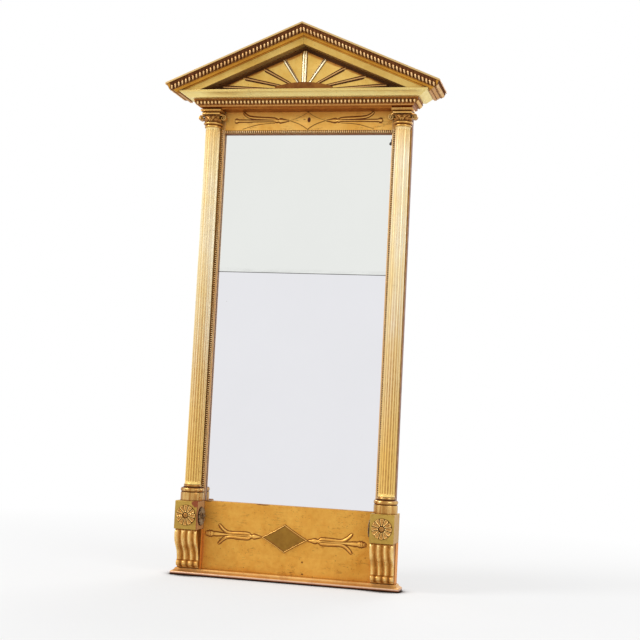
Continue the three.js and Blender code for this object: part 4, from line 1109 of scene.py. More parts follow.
def leafShell(side, angle, lowZ, height, width, curl, footRadius):
    # a carved leaf that stands on the bell and curls over at its tip
    front, back = [], []
    rows, columns, thick = capitalShape["leafRows"], capitalShape["leafColumns"], capitalShape["leafThick"]
    for row in range(rows + 1):
        v = row / rows
        spread = (0.72 + 0.5 * math.sin(math.pi * min(v * 1.05, 1))) * (1 - max(0, v - 0.8) * 2.6)
        spread *= 1 + 0.15 * math.cos(v * math.pi * 7)
        frontRow, backRow = [], []
        over = max(0, (v - 0.5) / 0.5)
        z = lowZ + height * (v - 0.22 * over ** 3)
        base = footRadius + 3 * v + curl * over ** 2
        for column in range(columns + 1):
            u = 2 * column / columns - 1
            turn = math.radians(angle) + u * spread * width / 2 / footRadius
            rib = 1.2 * math.exp(-(u / 0.16) ** 2) + 0.55 * math.cos((abs(u) * 3.2 + v * 1.4) * math.pi)
            r = base + 1.6 + rib - 1.6 * u * u
            hollow = max(0, 0.95 - 0.75 * v - 0.35 * rib, 0.75 * u * u - 0.5 * v)
            for points, radius, dirtAndShade in ((frontRow, r, hollow), (backRow, r - thick, 1)):
                points.append(place(side * (columnX + radius * math.sin(turn)),
                                    columnDepth + radius * math.cos(turn), z - 0.8 * over * abs(u), dirtAndShade))
        front.append(frontRow)
        back.append(backRow)
    return sheetShell(front, back)


def scrollShells(side, outer, lowZ):
    # an arm that springs from the bell, rolls into a spiral beside it and ends in a ball
    shape = capitalShape
    eyeX, eyeZ = shape["eye"]
    radius, half = shape["voluteRadius"], shape["bandDepth"] / 2
    path = smoothPath(shape["arm"] + [(eyeX, eyeZ + radius, shape["voluteDepth"], 1.7)], 5)[:-1]
    for step in range(44):
        share = step / 43
        turn = math.radians(90 - 540 * share)
        r = radius * (1 - 0.74 * share)
        path.append((eyeX + r * math.cos(turn), eyeZ + r * math.sin(turn), shape["voluteDepth"],
                     1.7 - 0.6 * share))
    rings = []
    for index, (x, rise, depth, thick) in enumerate(path):
        nx, nz = squareTo(path[max(index - 1, 0)], path[min(index + 1, len(path) - 1)])
        share = index / len(path)
        reach = half * (0.45 + 0.65 * min(1, share * 2.5))
        rings.append([place(side * (columnX + outer * (x + nx * lift * thick)), depth + across * reach,
                            lowZ + rise + nz * lift * thick, hollow)
                      for across, lift, hollow in shape["armSection"]])
    ball = []
    for level in range(1, 9):
        lift = math.pi * level / 9
        r, hollow = shape["ball"] * math.sin(lift), 0 if level > 5 else 0.8
        ball.append([place(side * (columnX + outer * (eyeX + r * math.cos(turn))),
                           shape["voluteDepth"] - half * math.cos(lift) * 1.3,
                           lowZ + eyeZ + r * math.sin(turn), hollow)
                     for turn in [2 * math.pi * step / 14 for step in range(14)]])
    return [loftShell(rings), loftShell(ball)]


def slabShell(side, lowZ):
    # a stack of squares with eased corners
    corner = capitalShape["corner"]
    rings = []
    for half, rise, hollow in capitalShape["slabs"]:
        left, right, front = columnX - half, columnX + half, columnDepth + half
        eased = [(left, front - corner), (left + corner * 0.3, front - corner * 0.3), (left + corner, front)]
        eased += [(left + right - x, depth) for x, depth in reversed(eased)]
        outline = [(left, backOfColumn), *eased, (right, backOfColumn)]
        rings.append([place(side * x, depth, lowZ + rise, hollow) for x, depth in outline])
    return loftShell(rings)


def buildCapitals():
    shape = capitalShape
    for side, word in bothSides:
        low, high = nodeBox(word + "_capital")[4:]
        shells = [turnedShell(side, low, shape["core"], 64)]
        for angles, (rise, *sizes) in (shape["lowerLeaves"], shape["upperLeaves"]):
            shells += [leafShell(side, angle, low + rise, *sizes) for angle in angles]
        for outer in (-1, 1):
            shells += scrollShells(side, outer, low)
        shells.append(slabShell(side, high - shape["slabs"][-1][1]))
        made = buildObject(word + "_leaf_capital", shells, capitalGilding, 50)
        finishPiece(made, [word + "_capital"])
    print("capitals carved")


buildCapitals()


consoleShape = {
    "flutes": 3, "sink": 8.5, "edge": 0.06, "across": 84, "toes": 7, "toeSink": 3.2, "toeTop": 102,
    # depth and drop of the front edge from the top of the scroll
    "front": [(80, 0), (86, 1.5), (90.5, 8), (92.2, 17), (91.8, 27), (88, 38), (80.5, 50), (71, 61.5),
              (63, 73.5), (58.5, 86), (56.8, 96), (57.2, 101), (58.2, 103.2), (61.8, 106), (63.6, 110.5),
              (63.2, 115.5), (60.6, 119.4), (56.5, 121.4), (53.5, 122), (52.5, 124.5)],
}


def buildConsoles():
    shape = consoleShape
    curve = smoothPath(shape["front"], 4)
    left, right, near, _, _, high = nodeBox("right_console")
    for side, word in bothSides:
        rings = []
        for station in range(shape["across"] + 1):
            share = station / shape["across"]
            inner = min(1, max(0, (share - shape["edge"]) / (1 - 2 * shape["edge"])))
            flute = (0.5 - 0.5 * math.cos(2 * math.pi * shape["flutes"] * inner)) ** 0.8
            toe = (0.5 + 0.5 * math.cos(2 * math.pi * (shape["toes"] - 1) / 2 * inner)) ** 0.6
            rounding = max(0, 1 - min(share, 1 - share) / shape["edge"]) ** 2 * 1.6
            ring = []
            for depth, drop in curve:
                onToe = max(0, min(1, (drop - shape["toeTop"]) / 2.5))
                sink = shape["sink"] * flute * (1 - onToe) * min(1, 0.3 + drop / 14)
                sink += onToe * shape["toeSink"] * (1 - toe)
                # painted shade in the flutes, round the toes, along the top and at the toe line
                hollow = (1 - onToe) * 0.62 * flute ** 1.5 + onToe * (0.2 + 0.7 * (1 - toe))
                hollow = max(hollow, 1 - drop / 3, 0.9 - abs(drop - shape["toeTop"]) / 2.5)
                sink = (sink + rounding) * min(1, (depth - near) / 8)
                ring.append(place(side * (left + share * (right - left)), depth - sink, high - drop, hollow))
            x = side * (left + share * (right - left))
            ring += [place(x, near, high - curve[-1][1], 1), place(x, near, high, 1)]
            rings.append(ring)
        made = buildObject(word + "_scrolled_console", [loftShell(rings)], scrollGilding, 60)
        finishPiece(made, [word + "_console"])
    print("consoles carved")


buildConsoles()


rosetteShape = {"grow": 1.1, "petals": 12, "height": 5.6, "rim": 1.5, "dish": 0.5, "boss": 8.8,
                "bossHeight": 5.0, "rings": 30, "steps": 240}


def smoothStep(low, high, value):
    share = min(1, max(0, (value - low) / (high - low)))
    return share * share * (3 - 2 * share)


def rosetteShell(toFrame, radius):
    # dished petals with raised rims round a seeded boss
    shape = rosetteShape
    steps = shape["steps"]
    rings = [[toFrame(radius * 0.97 * math.cos(2 * math.pi * step / steps),
                      radius * 0.97 * math.sin(2 * math.pi * step / steps), 0, 1) for step in range(steps)]]
    for ring in range(shape["rings"]):
        share = 1 - ring / shape["rings"]
        points = []
        for step in range(steps):
            turn = 2 * math.pi * step / steps
            petals = turn * shape["petals"] / (2 * math.pi)
            aside = 2 * abs(petals - round(petals))
            rim = radius * (0.84 + 0.16 * math.sqrt(max(0, 1 - aside * aside))
                            - 0.035 * math.exp(-(aside / 0.16) ** 2))
            r = rim * share
            inside = min(r * math.pi / shape["petals"] * (1 - aside), rim - r, (r - shape["boss"]) * 0.8)
            dish = shape["dish"] * smoothStep(shape["rim"], 3.2 * shape["rim"], inside)
            height = 0.6 + shape["height"] * (smoothStep(0, shape["rim"], inside) - dish)
            # painted shade in the gaps between the petals and in their dished middles
            hollow = 1 - smoothStep(0.2, 1.5, inside) + 0.42 * smoothStep(2.0, 4.4, inside)
            if r < shape["boss"] - 0.4:
                swell = math.sqrt(max(0, 1 - (r / shape["boss"]) ** 2))
                seeds = math.cos(r * 2.6) * math.cos(turn * 9)
                height = 1.0 + shape["bossHeight"] * swell ** 0.8 + 0.4 * seeds * swell
                hollow = max(0.45 - 0.35 * seeds, 1 - 2.2 * swell)
            points.append(toFrame(r * math.cos(turn), r * math.sin(turn), height, hollow))
        rings.append(points)
    return poleShell(rings, toFrame(0, 0, shape["bossHeight"] + 1.2, 0.2))


def buildRosettes():
    for side, word in bothSides:
        cx, cz, radius, _, near = frontOf(word + "_front_rosette")

        def onFront(u, v, height, hollow):
            return place(cx + u, near + height, cz + v, hollow)
        flower = rosetteShell(onFront, rosetteShape["grow"] * radius)
        made = buildObject(word + "_front_flower", [flower], flowerGilding, 60)
        finishPiece(made, [word + "_front_rosette"])

        left, right, near, far, low, high = nodeBox(word + "_side_rosette")
        middle, cz = (near + far) / 2, (low + high) / 2 - 3
        root = left if side < 0 else right

        def onSide(u, v, height, hollow):
            return place(root - side * height, middle + u, cz + v, hollow)
        flower = rosetteShell(onSide, rosetteShape["grow"] * (far - near) / 2)
        made = buildObject(word + "_side_flower", [flower], tarnishedShadeGilding, 60)
        finishPiece(made, [word + "_side_rosette"])
    print("rosettes carved")


buildRosettes()


shadowOutline = 2.5  # the dark line round each carved form: painted shadow, with some dirt


def ridgeShell(path, section, face, outline=shadowOutline):
    # path: (x, z, half width, height); section: across, lift, and dirt with painted shade, from one edge to
    # the other
    rings = []
    for index, (x, z, half, height) in enumerate(path):
        nx, nz = squareTo(path[max(index - 1, 0)], path[min(index + 1, len(path) - 1)])
        points = [(across * half, lift * height, hollow) for across, lift, hollow in section]
        if outline:
            edge = half + outline
            points = [(-edge, 0, 1), (-edge, 0.15, 1), (-half - 0.05, 0.25, 1)] + points[1:-1]
            points += [(half + 0.05, 0.25, 1), (edge, 0.15, 1), (edge, 0, 1)]
        rings.append([place(x + nx * across, face + lift, z + nz * across, hollow)
                      for across, lift, hollow in points])
    return loftShell(rings)


roundSection = [(-1, 0, 1), (-0.92, 0.4, 0.6), (-0.7, 0.72, 0.15), (-0.38, 0.93, 0), (0, 1, 0),
                (0.38, 0.93, 0), (0.7, 0.72, 0.15), (0.92, 0.4, 0.6), (1, 0, 1)]
leafSection = [(-1, 0, 1), (-0.9, 0.45, 0.4), (-0.5, 0.55, 0.15), (-0.15, 0.85, 0), (0, 1, 0),
               (0.15, 0.85, 0), (0.5, 0.55, 0.15), (0.9, 0.45, 0.4), (1, 0, 1)]
scaleSection = [(-1.35, 0, 1), (-1.2, 0.8, 1), (-0.75, 0.86, 0.7), (-0.4, 0.95, 0.1), (0, 1, 0),
                (0.4, 0.95, 0.1), (0.75, 0.86, 0.7), (1.2, 0.8, 1), (1.35, 0, 1)]


def spearShells(sizes, face, middleZ, shift, side):
    # a stem with long leaves that part from it and a bud at its end; distances from the middle
    def onPanel(points):
        return [(shift + side * x, middleZ + z, half, height) for x, z, half, height in points]
    stations = smoothPath(sizes["stem"], 5)
    shells = [ridgeShell(onPanel([(x, 0, half, height) for x, half, height in stations]), roundSection, face)]
    for up in sizes["leaves"]:
        path = smoothPath([(x, up * z, half, height) for x, z, half, height in sizes["leaf"]], 6)
        shells.append(ridgeShell(onPanel(path), leafSection, face))
    for x, z, run, rise in sizes["traces"]:
        # where a lost leaf has left its mark
        path = smoothPath([(x, z, 0.5, 0.5), (x + run * 0.5, z + rise * 0.22, 0.8, 0.5),
                           (x + run, z + rise, 0.5, 0.5)], 8)
        shells.append(ridgeShell(onPanel(path), [(-1, 0, 1), (-1, 1, 1), (1, 1, 1), (1, 0, 1)], face, 0))
    if sizes["scales"]:
        start, end, half, height = sizes["cone"]
        path = []
        for step in range(49):
            share = step / 48
            swell = math.sin(math.pi * (0.16 + 0.83 * share)) ** 0.7 * (1.08 - 0.2 * share)
            scale = 1 + 0.1 * math.cos(share * math.pi * 2 * sizes["scales"])
            path.append((start + (end - start) * share, 0, half * swell * scale, height * swell * scale))
        shells.append(ridgeShell(onPanel(path), roundSection, face))
        for row in range(sizes["scales"]):
            for aside in (-0.55, 0, 0.55):
                share = (row + 0.5 + 0.25 * (aside != 0)) / (sizes["scales"] + 0.8)
                lift = height * (1 - 0.5 * abs(aside)) * math.sin(math.pi * (0.16 + 0.83 * share)) ** 0.7
                x, z = start + (end - start) * share, aside * half * (1.05 - 0.45 * share)
                tip = [(x + step * 1.4, z, (1.2, 2.5, 2.8, 1.0)[step], lift + (0.2, 0.8, 1.1, 0.1)[step])
                       for step in range(4)]
                shells.append(ridgeShell(onPanel(tip), scaleSection, face, 0))
    return shells


upperCarving = {
    # distance from the middle, half thickness, height
    "stem": [(63.5, 0.6, 0.8), (72, 2.2, 2.6), (82, 4.6, 3.8), (88, 6.2, 4.6), (93, 6.9, 4.9),
             (97, 5.8, 4.4), (99.5, 3.4, 3.0), (103, 5.0, 4.0), (107, 5.0, 4.0), (112, 3.0, 2.8),
             (122, 2.2, 2.0), (160, 2.0, 1.8), (190, 2.2, 2.0), (205, 3.0, 2.8), (232, 3.2, 3.0),
             (238, 3.4, 3.2), (241, 5.2, 4.4), (245, 6.3, 4.8), (249, 5.6, 4.4), (252, 2.4, 2.4)],
    "leaf": [(106, 3.4, 2.2, 2.6), (118, 6.6, 3.4, 3.4), (150, 8.2, 3.6, 3.4), (180, 10, 3.6, 3.4),
             (200, 13, 3.4, 3.4), (212, 19, 2.8, 3.0), (219, 25, 2.2, 2.4), (222.5, 28.5, 0.6, 1.0)],
    "leaves": [1], "traces": [(112, -8, 112, -20)], "scales": 0,
}
lowerCarving = {
    "stem": [(77, 0.6, 0.8), (84, 2.6, 2.8), (92, 5.2, 4.2), (98, 7.0, 5.0), (102, 7.5, 5.2),
             (106.5, 6.4, 4.6), (109, 4.0, 3.2), (112, 6.0, 4.4), (115, 5.8, 4.2), (119, 3.2, 2.4),
             (127, 2.0, 1.6), (165, 2.0, 1.6), (190, 2.6, 2.4), (202, 3.6, 3.4), (214, 4.8, 4.0),
             (228, 6.2, 4.6), (237, 6.4, 4.6), (241, 4.6, 3.8)],
    "leaf": [(116, 5.0, 3.0, 3.0), (124, 7.4, 4.4, 4.0), (142, 7.4, 4.7, 4.2), (162, 6.8, 4.7, 4.2),
             (180, 6.0, 4.5, 4.0), (193, 8.0, 4.4, 4.0), (204, 13.5, 4.4, 4.0), (212, 20, 4.2, 3.8),
             (218.5, 27, 3.6, 3.2), (222, 31, 2.2, 2.2), (223.5, 32.6, 0.6, 1.0)],
    "leaves": [1, -1], "traces": [], "scales": 4, "cone": (239, 270.5, 9.2, 5.0),
}


def buildSpears():
    for row, sizes, finish in (("upper", upperCarving, spearGilding),
                               ("lower", lowerCarving, lowSpearGilding)):
        face = nodeBox(f"right_{row}_spear")[2]
        middleX, middleZ = frontOf(row + "_lozenge")[:2]
        for side, word in bothSides:
            node = f"{word}_{row}_spear"
            shells = spearShells(sizes, face, middleZ, middleX, side)
            finishPiece(buildObject(node + "_carving", shells, finish, 60), [node])
    print("spears carved")


buildSpears()


lozengeShape = {
    "lowerWaist": 0.97, "upperWaist": 0.86, "steps": 10, "ridge": 2.2, "fieldTop": 3.25,
    # inset from the edge, lift, and dirt with painted shade
    "rim": [(-0.8, 0, 1), (-0.7, 0.3, 1), (0, 0.4, 1), (0.3, 3.2, 0.5), (1.0, 4.6, 0), (2.2, 5.0, 0),
            (3.2, 4.4, 0.3), (3.8, 2.6, 1), (3.8, 0, 1)],
    "field": [(3.85, 0, 1), (3.85, 2.6, 0.9), (4.8, 2.9, 0.4), (7, 3.1, 0), (30, 3.2, 0)],
    "edge": [(0, 0, 1), (0.2, 1.6, 1), (0.9, 2.0, 0.9), (1.7, 1.9, 0.2), (2.6, 1.6, 0)],
}


def lozengeOutline(halfWidth, halfHeight, waist, inset):
    # corner to corner, each side drawn in at its middle; inset in millimetres from the edge
    steps = lozengeShape["steps"]
    corners = [(halfWidth, 0), (0, halfHeight), (-halfWidth, 0), (0, -halfHeight)]
    shrink = 1 - inset * math.hypot(1 / halfWidth, 1 / halfHeight)
    points = []
    for index, first in enumerate(corners):
        second = corners[(index + 1) % 4]
        for step in range(steps):
            t = step / steps
            pull = 1 - (1 - waist) * 4 * t * (1 - t)
            x, z = between(first, second, t)
            points.append((x * pull * shrink, z * pull * shrink))
    return points


def lozengeRings(node, levels):
    cx, cz, halfWidth, halfHeight, near = frontOf(node)
    waist = lozengeShape["lowerWaist" if node.startswith("lower") else "upperWaist"]
    return [[place(cx + x, near + lift, cz + z, hollow)
             for x, z in lozengeOutline(halfWidth, halfHeight, waist, inset)]
            for inset, lift, hollow in levels]


def buildLozenges():
    shape = lozengeShape
    cx, cz, halfWidth, halfHeight, near = frontOf("lower_lozenge")
    rim, field = lozengeRings("lower_lozenge", shape["rim"]), lozengeRings("lower_lozenge", shape["field"])
    made = buildObject("lower_lozenge_rim", [loftShell(rim, closedEnds=False)], spearGilding, 60)
    finishPiece(made, ["lower_lozenge"])
    field = poleShell(field, place(cx, near + shape["fieldTop"], cz))
    finishPiece(buildObject("lower_lozenge_field", [field], lozengeGilding, 60))

    # the upper one has a soft ridge down its middle
    cx, cz, halfWidth, halfHeight, near = frontOf("upper_lozenge")
    rings = lozengeRings("upper_lozenge", shape["edge"])
    inset, lift, _ = shape["edge"][-1]
    outline = lozengeOutline(halfWidth, halfHeight, shape["upperWaist"], inset)
    for share in (0.75, 0.5, 0.25):
        ring = []
        for x, z in outline:
            rise = shape["ridge"] * (1 - abs(x * share) / halfWidth) * (1 - share) ** 0.5
            ring.append(place(cx + x * share, near + lift + rise, cz + z * (1 - (1 - share) * 0.35)))
        rings.append(ring)
    rings.append([place(cx, near + lift + shape["ridge"], cz + z * 0.65) for x, z in outline])
    made = buildObject("upper_lozenge_carving", [loftShell(rings)], friezeGilding, 30)
    finishPiece(made, ["upper_lozenge"])
    print("lozenges carved")


buildLozenges()


fanShape = {
    "ribs": 4, "spacing": 69.5, "edgeZ": 1722.2, "plate": 4.2, "dish": 1.4, "leafInset": 2.5, "notch": 2.5,
    "edgeBevel": 6.5, "bow": 4.0, "ribHeight": 9.0, "ribWidth": 13.5, "hubWidth": 6.0, "keyWidth": 18.0,
    "keyHubWidth": 16.5, "leafSteps": 16, "leafRows": 14, "ribSteps": 12,
    # across, lift, and dirt with painted shade: a pair of rolls between two dark grooves
    "pair": [(-1, 0, 1), (-1, 0.68, 1), (-0.84, 0.7, 1), (-0.76, 0.86, 0.4), (-0.6, 0.98, 0), (-0.36, 1, 0),
             (-0.16, 0.9, 0.2), (-0.06, 0.76, 0.9), (0.06, 0.76, 0.9), (0.16, 0.9, 0.2), (0.36, 1, 0),
             (0.6, 0.98, 0), (0.76, 0.86, 0.4), (0.84, 0.7, 1), (1, 0.68, 1), (1, 0, 1)],
    # a wide roll on the outer side and a thin one beyond a groove
    "uneven": [(-1, 0, 1), (-1, 0.68, 1), (-0.9, 0.7, 0.8), (-0.78, 0.84, 0.3), (-0.62, 0.88, 0.3),
               (-0.5, 0.72, 1), (-0.2, 0.72, 1), (-0.1, 0.9, 0.3), (0.1, 1, 0), (0.56, 1, 0),
               (0.76, 0.9, 0.3), (0.84, 0.7, 1), (1, 0.68, 1), (1, 0, 1)],
    # one roll between two grooves, for the ribs farther out
    "single": [(-1, 0, 1), (-1, 0.68, 1), (-0.5, 0.7, 1), (-0.42, 0.9, 0.4), (-0.2, 1, 0), (0.2, 1, 0),
               (0.42, 0.9, 0.4), (0.5, 0.7, 1), (1, 0.68, 1), (1, 0, 1)],
}


def fanRibEnd(index):
    # where a rib meets the recess above it
    shape = fanShape
    return index * shape["spacing"], shape["edgeZ"] - slope * abs(index * shape["spacing"])


def fanLeafShell(index, footZ, near):
    # one leaf between two ribs, dished, with its outer edge cut away at a slant
    shape = fanShape
    first, second = fanRibEnd(index), fanRibEnd(index + 1)
    steps, rows = shape["leafSteps"], shape["leafRows"]
    front, back = [], []
    for row in range(rows + 3):
        along = 0.16 + 0.84 * min(row, rows) / rows
        frontRow, backRow = [], []
        for column in range(steps + 1):
            share = column / steps
            ex, ez = between(first, second, share)
            length = math.hypot(ex, ez - footZ)
            notch = math.exp(-(min(share, 1 - share) / 0.08) ** 2)
            cutAway = shape["edgeBevel"] + shape["bow"] * math.sin(math.pi * share)
            inset = shape["leafInset"] + shape["notch"] * notch
            reach = along * (length - inset - cutAway) / length
            lift = shape["plate"] + 1.4 * along ** 2 - shape["dish"] * math.sin(math.pi * share) * along
            hollow = 0.45 * max(0, 1 - min(share, 1 - share) / 0.06)
            if row > rows:
                reach += cutAway * (row - rows) / 2 / length
                lift *= (0.92, 0.75)[row - rows - 1]
                hollow = (0.46, 0.5)[row - rows - 1]
            x, z = ex * reach, footZ + (ez - footZ) * reach
            frontRow.append(place(x, near + lift, z, hollow))
            backRow.append(place(x, near, z, 1))
        front.append(frontRow)
        back.append(backRow)
    return sheetShell(front, back)


def fanRibShell(index, footZ, near):
    shape = fanShape
    ex, ez = fanRibEnd(index)
    width, hubWidth = shape["ribWidth"], shape["hubWidth"]
    if index == 0:
        width, hubWidth = shape["keyWidth"], shape["keyHubWidth"]
    path = []
    steps = shape["ribSteps"]
    for step in range(steps + 1):
        along = 0.14 + 0.86 * step / steps
        half = (hubWidth + (width - hubWidth) * along ** 0.8) / 2
        height = shape["ribHeight"] * (0.72 + 0.28 * along)
        if step == steps:
            half, height = half * 0.8, height * 0.7
        path.append((ex * along * 0.985, footZ + (ez - footZ) * along * 0.985, half, height))
    section = shape[("pair", "uneven", "single")[min(abs(index), 2)]]
    if index == 1:
        section = [(-across, lift, hollow) for across, lift, hollow in reversed(section)]
    return ridgeShell(path, section, near, 0)


def buildFan():
    near = nodeBox("fan")[2]
    footZ = nodeBox("fan_hub")[4] + 0.3
    ribs = fanShape["ribs"]
    leaves = [fanLeafShell(index, footZ, near) for index in range(-ribs, ribs)]
    finishPiece(buildObject("carved_fan", leaves, fanGilding, 45), ["fan"])
    sideRibs = [fanRibShell(index, footZ, near) for index in range(-ribs, ribs + 1) if abs(index) > 1]
    finishPiece(buildObject("fan_side_ribs", sideRibs, ribGilding, 50))
    topRibs = [fanRibShell(index, footZ, near) for index in (-1, 0, 1)]
    finishPiece(buildObject("fan_top_ribs", topRibs, keyGilding, 50))
    print("fan carved")


buildFan()


easedPieces = {
    "corona_board": (0.9, cornerGilding, "bright_gilding"),
    "left_raking_board": (0.7, brightGilding, "bright_gilding"),
    "right_raking_board": (0.7, brightGilding, "bright_gilding"),
    "left_raking_moulding": (0.4, mouldingGilding, "bright_gilding"),
    "right_raking_moulding": (0.4, mouldingGilding, "bright_gilding"),
    "left_eave_return": (0.4, mouldingGilding, "bright_gilding"),
    "right_eave_return": (0.4, mouldingGilding, "bright_gilding"),
    "bed_moulding_front": (0.4, bedGilding, "warm_gilding"),
    "left_bed_moulding_return": (0.4, bedGilding, "warm_gilding"),
    "right_bed_moulding_return": (0.4, bedGilding, "warm_gilding"),
    "tympanum_board": (0.8, recessShadePaint, "warm_gilding"),
    "fan_hub": (1.6, hubGilding, "worn_bole"),
    "frieze_panel": (0.8, friezeGilding, "warm_gilding"),
    "base_panel": (1.0, panelGilding, "warm_gilding"),
    "plinth_rail": (1.2, panelGilding, "warm_gilding"),
    "left_pedestal": (1.2, clayGilding, "warm_gilding"),
    "right_pedestal": (1.2, clayGilding, "warm_gilding"),
    "left_plinth_block": (1.4, oliveGilding, "olive_gilding"),
    "right_plinth_block": (1.4, oliveGilding, "olive_gilding"),
    "base_moulding_front": (0.9, footingGilding, "worn_bole"),
    "left_base_moulding_return": (0.9, footingGilding, "worn_bole"),
    "right_base_moulding_return": (0.9, footingGilding, "worn_bole"),
    "left_stile": (0.8, stileFinish, "bare_pine"),
    "right_stile": (0.8, stileFinish, "bare_pine"),
    "top_rail": (0.8, levelPine, "bare_pine"),
    "bottom_rail": (0.8, levelPine, "bare_pine"),
    "backboard_1": (1.4, levelPine, "bare_pine"),
    "backboard_2": (1.4, levelPine, "bare_pine"),
    "backboard_3": (1.4, levelPine, "bare_pine"),
    "left_hanger_plate": (0.25, forgedIron, "wrought_iron"),
    "right_hanger_plate": (0.25, forgedIron, "wrought_iron"),
}
for node, (width, material, slot) in easedPieces.items():
    softened(node, width, material)
print(len(easedPieces), "pieces eased")


def dressNode(node, material):
    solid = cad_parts[node]
    solid.data.materials.clear()
    solid.data.materials.append(material)


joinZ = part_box("upper_mirror_plate")[0].z
upperSilvering = makeSilvering("upperSilvering", {
    "tint": (0.815, 0.83, 0.806), "joinZ": joinZ, "smudge": 0.16,
    "losses": [((0.2835, 0.0675, 1.44), (0.0035, 0.02, 0.01)),
               ((0.2805, 0.0675, 1.4335), (0.0055, 0.02, 0.0065))]})
lowerSilvering = makeSilvering("lowerSilvering", {
    "tint": (0.805, 0.805, 0.835), "joinZ": joinZ, "smudge": 0.0, "losses": []})
dressNode("upper_mirror_plate", upperSilvering)
dressNode("lower_mirror_plate", lowerSilvering)


ringShape = {"wire": 2.0, "sides": 14, "bend": 4.5}
screwShape = {"tip": 0.4, "shank": 1.7, "point": 3, "slot": 0.45}


def bentRing(node):
    # a straight bar in the knuckle, two bent corners and a round bow, all of one wire
    left, right, near, far, low, high = nodeBox(node)
    wire, bend, sides = ringShape["wire"], ringShape["bend"], ringShape["sides"]
    cx, depth = (left + right) / 2, (near + far) / 2
    barZ, half = high - wire, (right - left) / 2 - wire
    bowZ = low + wire + half
    corner = [(half - bend, barZ)]
    for step in range(1, 6):
        turn = math.radians(90 - 90 * step / 6)
        corner.append((half - bend * (1 - math.cos(turn)), barZ - bend * (1 - math.sin(turn))))
    bow = [math.pi * step / 24 for step in range(25)]
    path = corner + [(half * math.cos(turn), bowZ - half * math.sin(turn)) for turn in bow]
    path += [(-x, z) for x, z in reversed(corner)]
    rings = []
    for index, (x, z) in enumerate(path):
        nx, nz = squareTo(path[index - 1], path[(index + 1) % len(path)])
        ring = []
        for turn in [2 * math.pi * side / sides for side in range(sides)]:
            out, back = wire * math.cos(turn), wire * math.sin(turn)
            ring.append(place(cx + x + nx * out, depth + back, z + nz * out))
        rings.append(ring)
    return loftShell(rings, closedEnds=False)


def screwShells(node):
    # a pointed shank under a domed head in two halves, with the slot between them
    far = nodeBox(node)[3]
    cx, cz, radius, _, near = frontOf(node)
    shape = screwShape
    turns = [2 * math.pi * step / 24 for step in range(24)]
    shells = [loftShell([[place(cx + r * math.cos(turn), depth, cz + r * math.sin(turn)) for turn in turns]
                         for r, depth in ((shape["tip"], far), (shape["shank"], far - shape["point"]),
                                          (shape["shank"], near + 0.9), (radius, near + 0.5))])]
    for half in (-1, 1):
        rings = []
        for share, lift in ((1.0, 0.5), (1.0, 0.2), (0.8, 0.02), (0.4, 0)):
            r = radius * share
            rings.append([place(cx + r * math.cos(turn), near + lift,
                                cz + half * (shape["slot"] + (r - shape["slot"]) * math.sin(turn)))
                          for turn in [math.pi * step / 12 for step in range(13)]])
        shells.append(loftShell(rings))
    return shells


def buildHangers():
    for _, word in bothSides:
        made = buildObject(word + "_bent_ring", [bentRing(word + "_hanging_ring")], forgedIron, 60)
        finishPiece(made, [word + "_hanging_ring"], word + "_ring")
        made = buildObject(word + "_slotted_screw", screwShells(word + "_hanger_screw"), forgedIron, 40)
        finishPiece(made, [word + "_hanger_screw"])
    print("hangers made")


buildHangers()


def raysSeen(tree):
    # 1 for rays from the camera and for those seen in metal and glass
    path = addNode(tree, "ShaderNodeLightPath").outputs
    seen = larger(tree, path["Is Camera Ray"], path["Is Glossy Ray"])
    return larger(tree, seen, path["Is Transmission Ray"])


floorShape = {"reach": 30, "glow": 0.52, "matt": 0.42, "fadeStart": 0.9, "fadeEnd": 2.6, "contact": 0.055}


def buildFloor():
    mesh = bpy.data.meshes.new("floor")
    reach = floorShape["reach"]
    mesh.from_pydata([(-reach, -reach, 0), (reach, -reach, 0), (reach, reach, 0), (-reach, reach, 0)], [],
                     [(0, 1, 2, 3)])
    material, tree, shader = newMaterial("paleFloor")
    tree.nodes.remove(shader)
    coords = objectCoords(tree)
    tone = mixColour(tree, noiseOf(tree, coords, 3, 3), (0.84, 0.84, 0.845), (0.88, 0.88, 0.88))
    matt = addNode(tree, "ShaderNodeBsdfDiffuse", {"Color": tone})
    glow = addNode(tree, "ShaderNodeEmission", {"Color": (1, 1, 1, 1), "Strength": floorShape["glow"]})
    faded = addNode(tree, "ShaderNodeBsdfDiffuse", {"Color": (*[floorShape["matt"]] * 3, 1)})
    shown = addNode(tree, "ShaderNodeAddShader", {0: glow.outputs[0], 1: faded.outputs[0]})
    # farther off it turns as white as the background
    white = addNode(tree, "ShaderNodeEmission", {"Color": (1, 1, 1, 1), "Strength": 1.0})
    far = remap(tree, lengthOf(tree, coords), floorShape["fadeStart"], floorShape["fadeEnd"])
    glossy = addNode(tree, "ShaderNodeLightPath").outputs["Is Glossy Ray"]
    far = larger(tree, far, times(tree, glossy, 0.75))
    seen = addNode(tree, "ShaderNodeMixShader", {0: far, 1: shown.outputs[0], 2: white.outputs[0]})
    # and a painted contact shadow darkens it where the foot stands on it
    shaded = remap(tree, opennessOf(tree, floorShape["contact"], 8), 0.93, 0.7)
    dark = addNode(tree, "ShaderNodeBsdfDiffuse", {"Color": (0.06, 0.04, 0.03, 1)})
    seen = addNode(tree, "ShaderNodeMixShader", {0: shaded, 1: seen.outputs[0], 2: dark.outputs[0]})
    mixed = addNode(tree, "ShaderNodeMixShader", {0: raysSeen(tree), 1: matt.outputs[0], 2: seen.outputs[0]})
    tree.links.new(mixed.outputs[0], tree.nodes["Material Output"].inputs["Surface"])
    mesh.materials.append(material)
    floor = bpy.data.objects.new("floor", mesh)
    bpy.context.scene.collection.objects.link(floor)


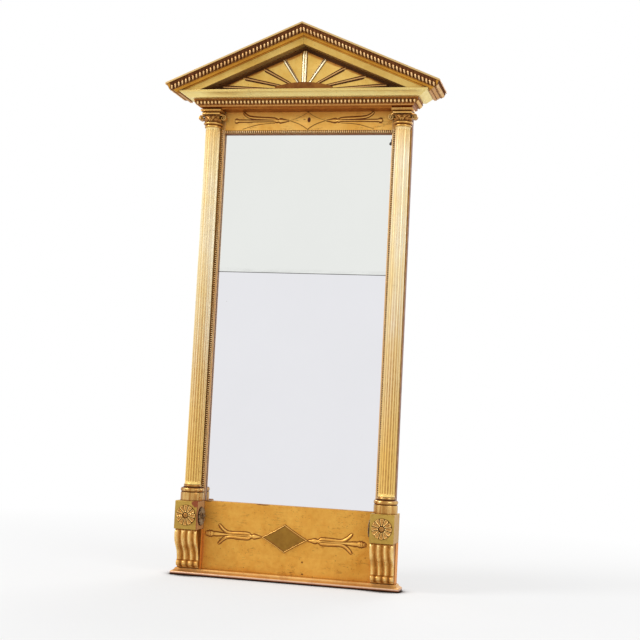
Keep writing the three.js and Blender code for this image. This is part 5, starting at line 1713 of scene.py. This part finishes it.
def buildLight():
    world = bpy.data.worlds.new("studio")
    bpy.context.scene.world = world
    world.use_nodes = True
    tree = world.node_tree
    plain = tree.nodes["Background"]
    plain.inputs["Color"].default_value = (1, 1, 1, 1)
    plain.inputs["Strength"].default_value = 0.55
    white = addNode(tree, "ShaderNodeBackground", {"Color": (1, 1, 1, 1), "Strength": 1.0})
    mixed = addNode(tree, "ShaderNodeMixShader",
                    {0: raysSeen(tree), 1: plain.outputs[0], 2: white.outputs[0]})
    tree.links.new(mixed.outputs[0], tree.nodes["World Output"].inputs["Surface"])
    lamps = {
        "keyLamp": ((-3.6, -2.5, 3.6), 1.8, 110),
        "fillLamp": ((3.2, -2.4, 2.6), 2.2, 32),
        "backLamp": ((0.5, 3.4, 3.4), 2.4, 60),
    }
    for name, (spot, size, power) in lamps.items():
        data = bpy.data.lights.new(name, "AREA")
        data.shape, data.size, data.energy = "DISK", size, power
        lamp = bpy.data.objects.new(name, data)
        lamp.location = spot
        lamp.rotation_euler = (Vector((0, 0, 0.9)) - Vector(spot)).to_track_quat("-Z", "Y").to_euler()
        bpy.context.scene.collection.objects.link(lamp)


# found by fitting the photographed corners and edges
view = {"spot": (1.02779, -3.89812, 0.56159), "azimuth": 13.56, "elevation": 4.05, "roll": 2.85,
        "lens": 70.42}


def buildCamera():
    azimuth, elevation, roll = (math.radians(view[key]) for key in ("azimuth", "elevation", "roll"))
    forward = Vector((-math.sin(azimuth) * math.cos(elevation), math.cos(azimuth) * math.cos(elevation),
                      math.sin(elevation)))
    level = Vector((math.cos(azimuth), math.sin(azimuth), 0))
    upright = level.cross(forward)
    right = level * math.cos(roll) + upright * math.sin(roll)
    up = upright * math.cos(roll) - level * math.sin(roll)
    data = bpy.data.cameras.new("camera")
    data.sensor_width, data.lens = 36, view["lens"]
    camera = bpy.data.objects.new("camera", data)
    turn = Matrix((right, up, -forward)).transposed().to_4x4()
    camera.matrix_world = Matrix.Translation(view["spot"]) @ turn
    bpy.context.scene.collection.objects.link(camera)
    bpy.context.scene.camera = camera


buildFloor()
buildLight()
buildCamera()
bpy.context.scene.view_settings.view_transform = "Standard"
print("floor, light and camera set")
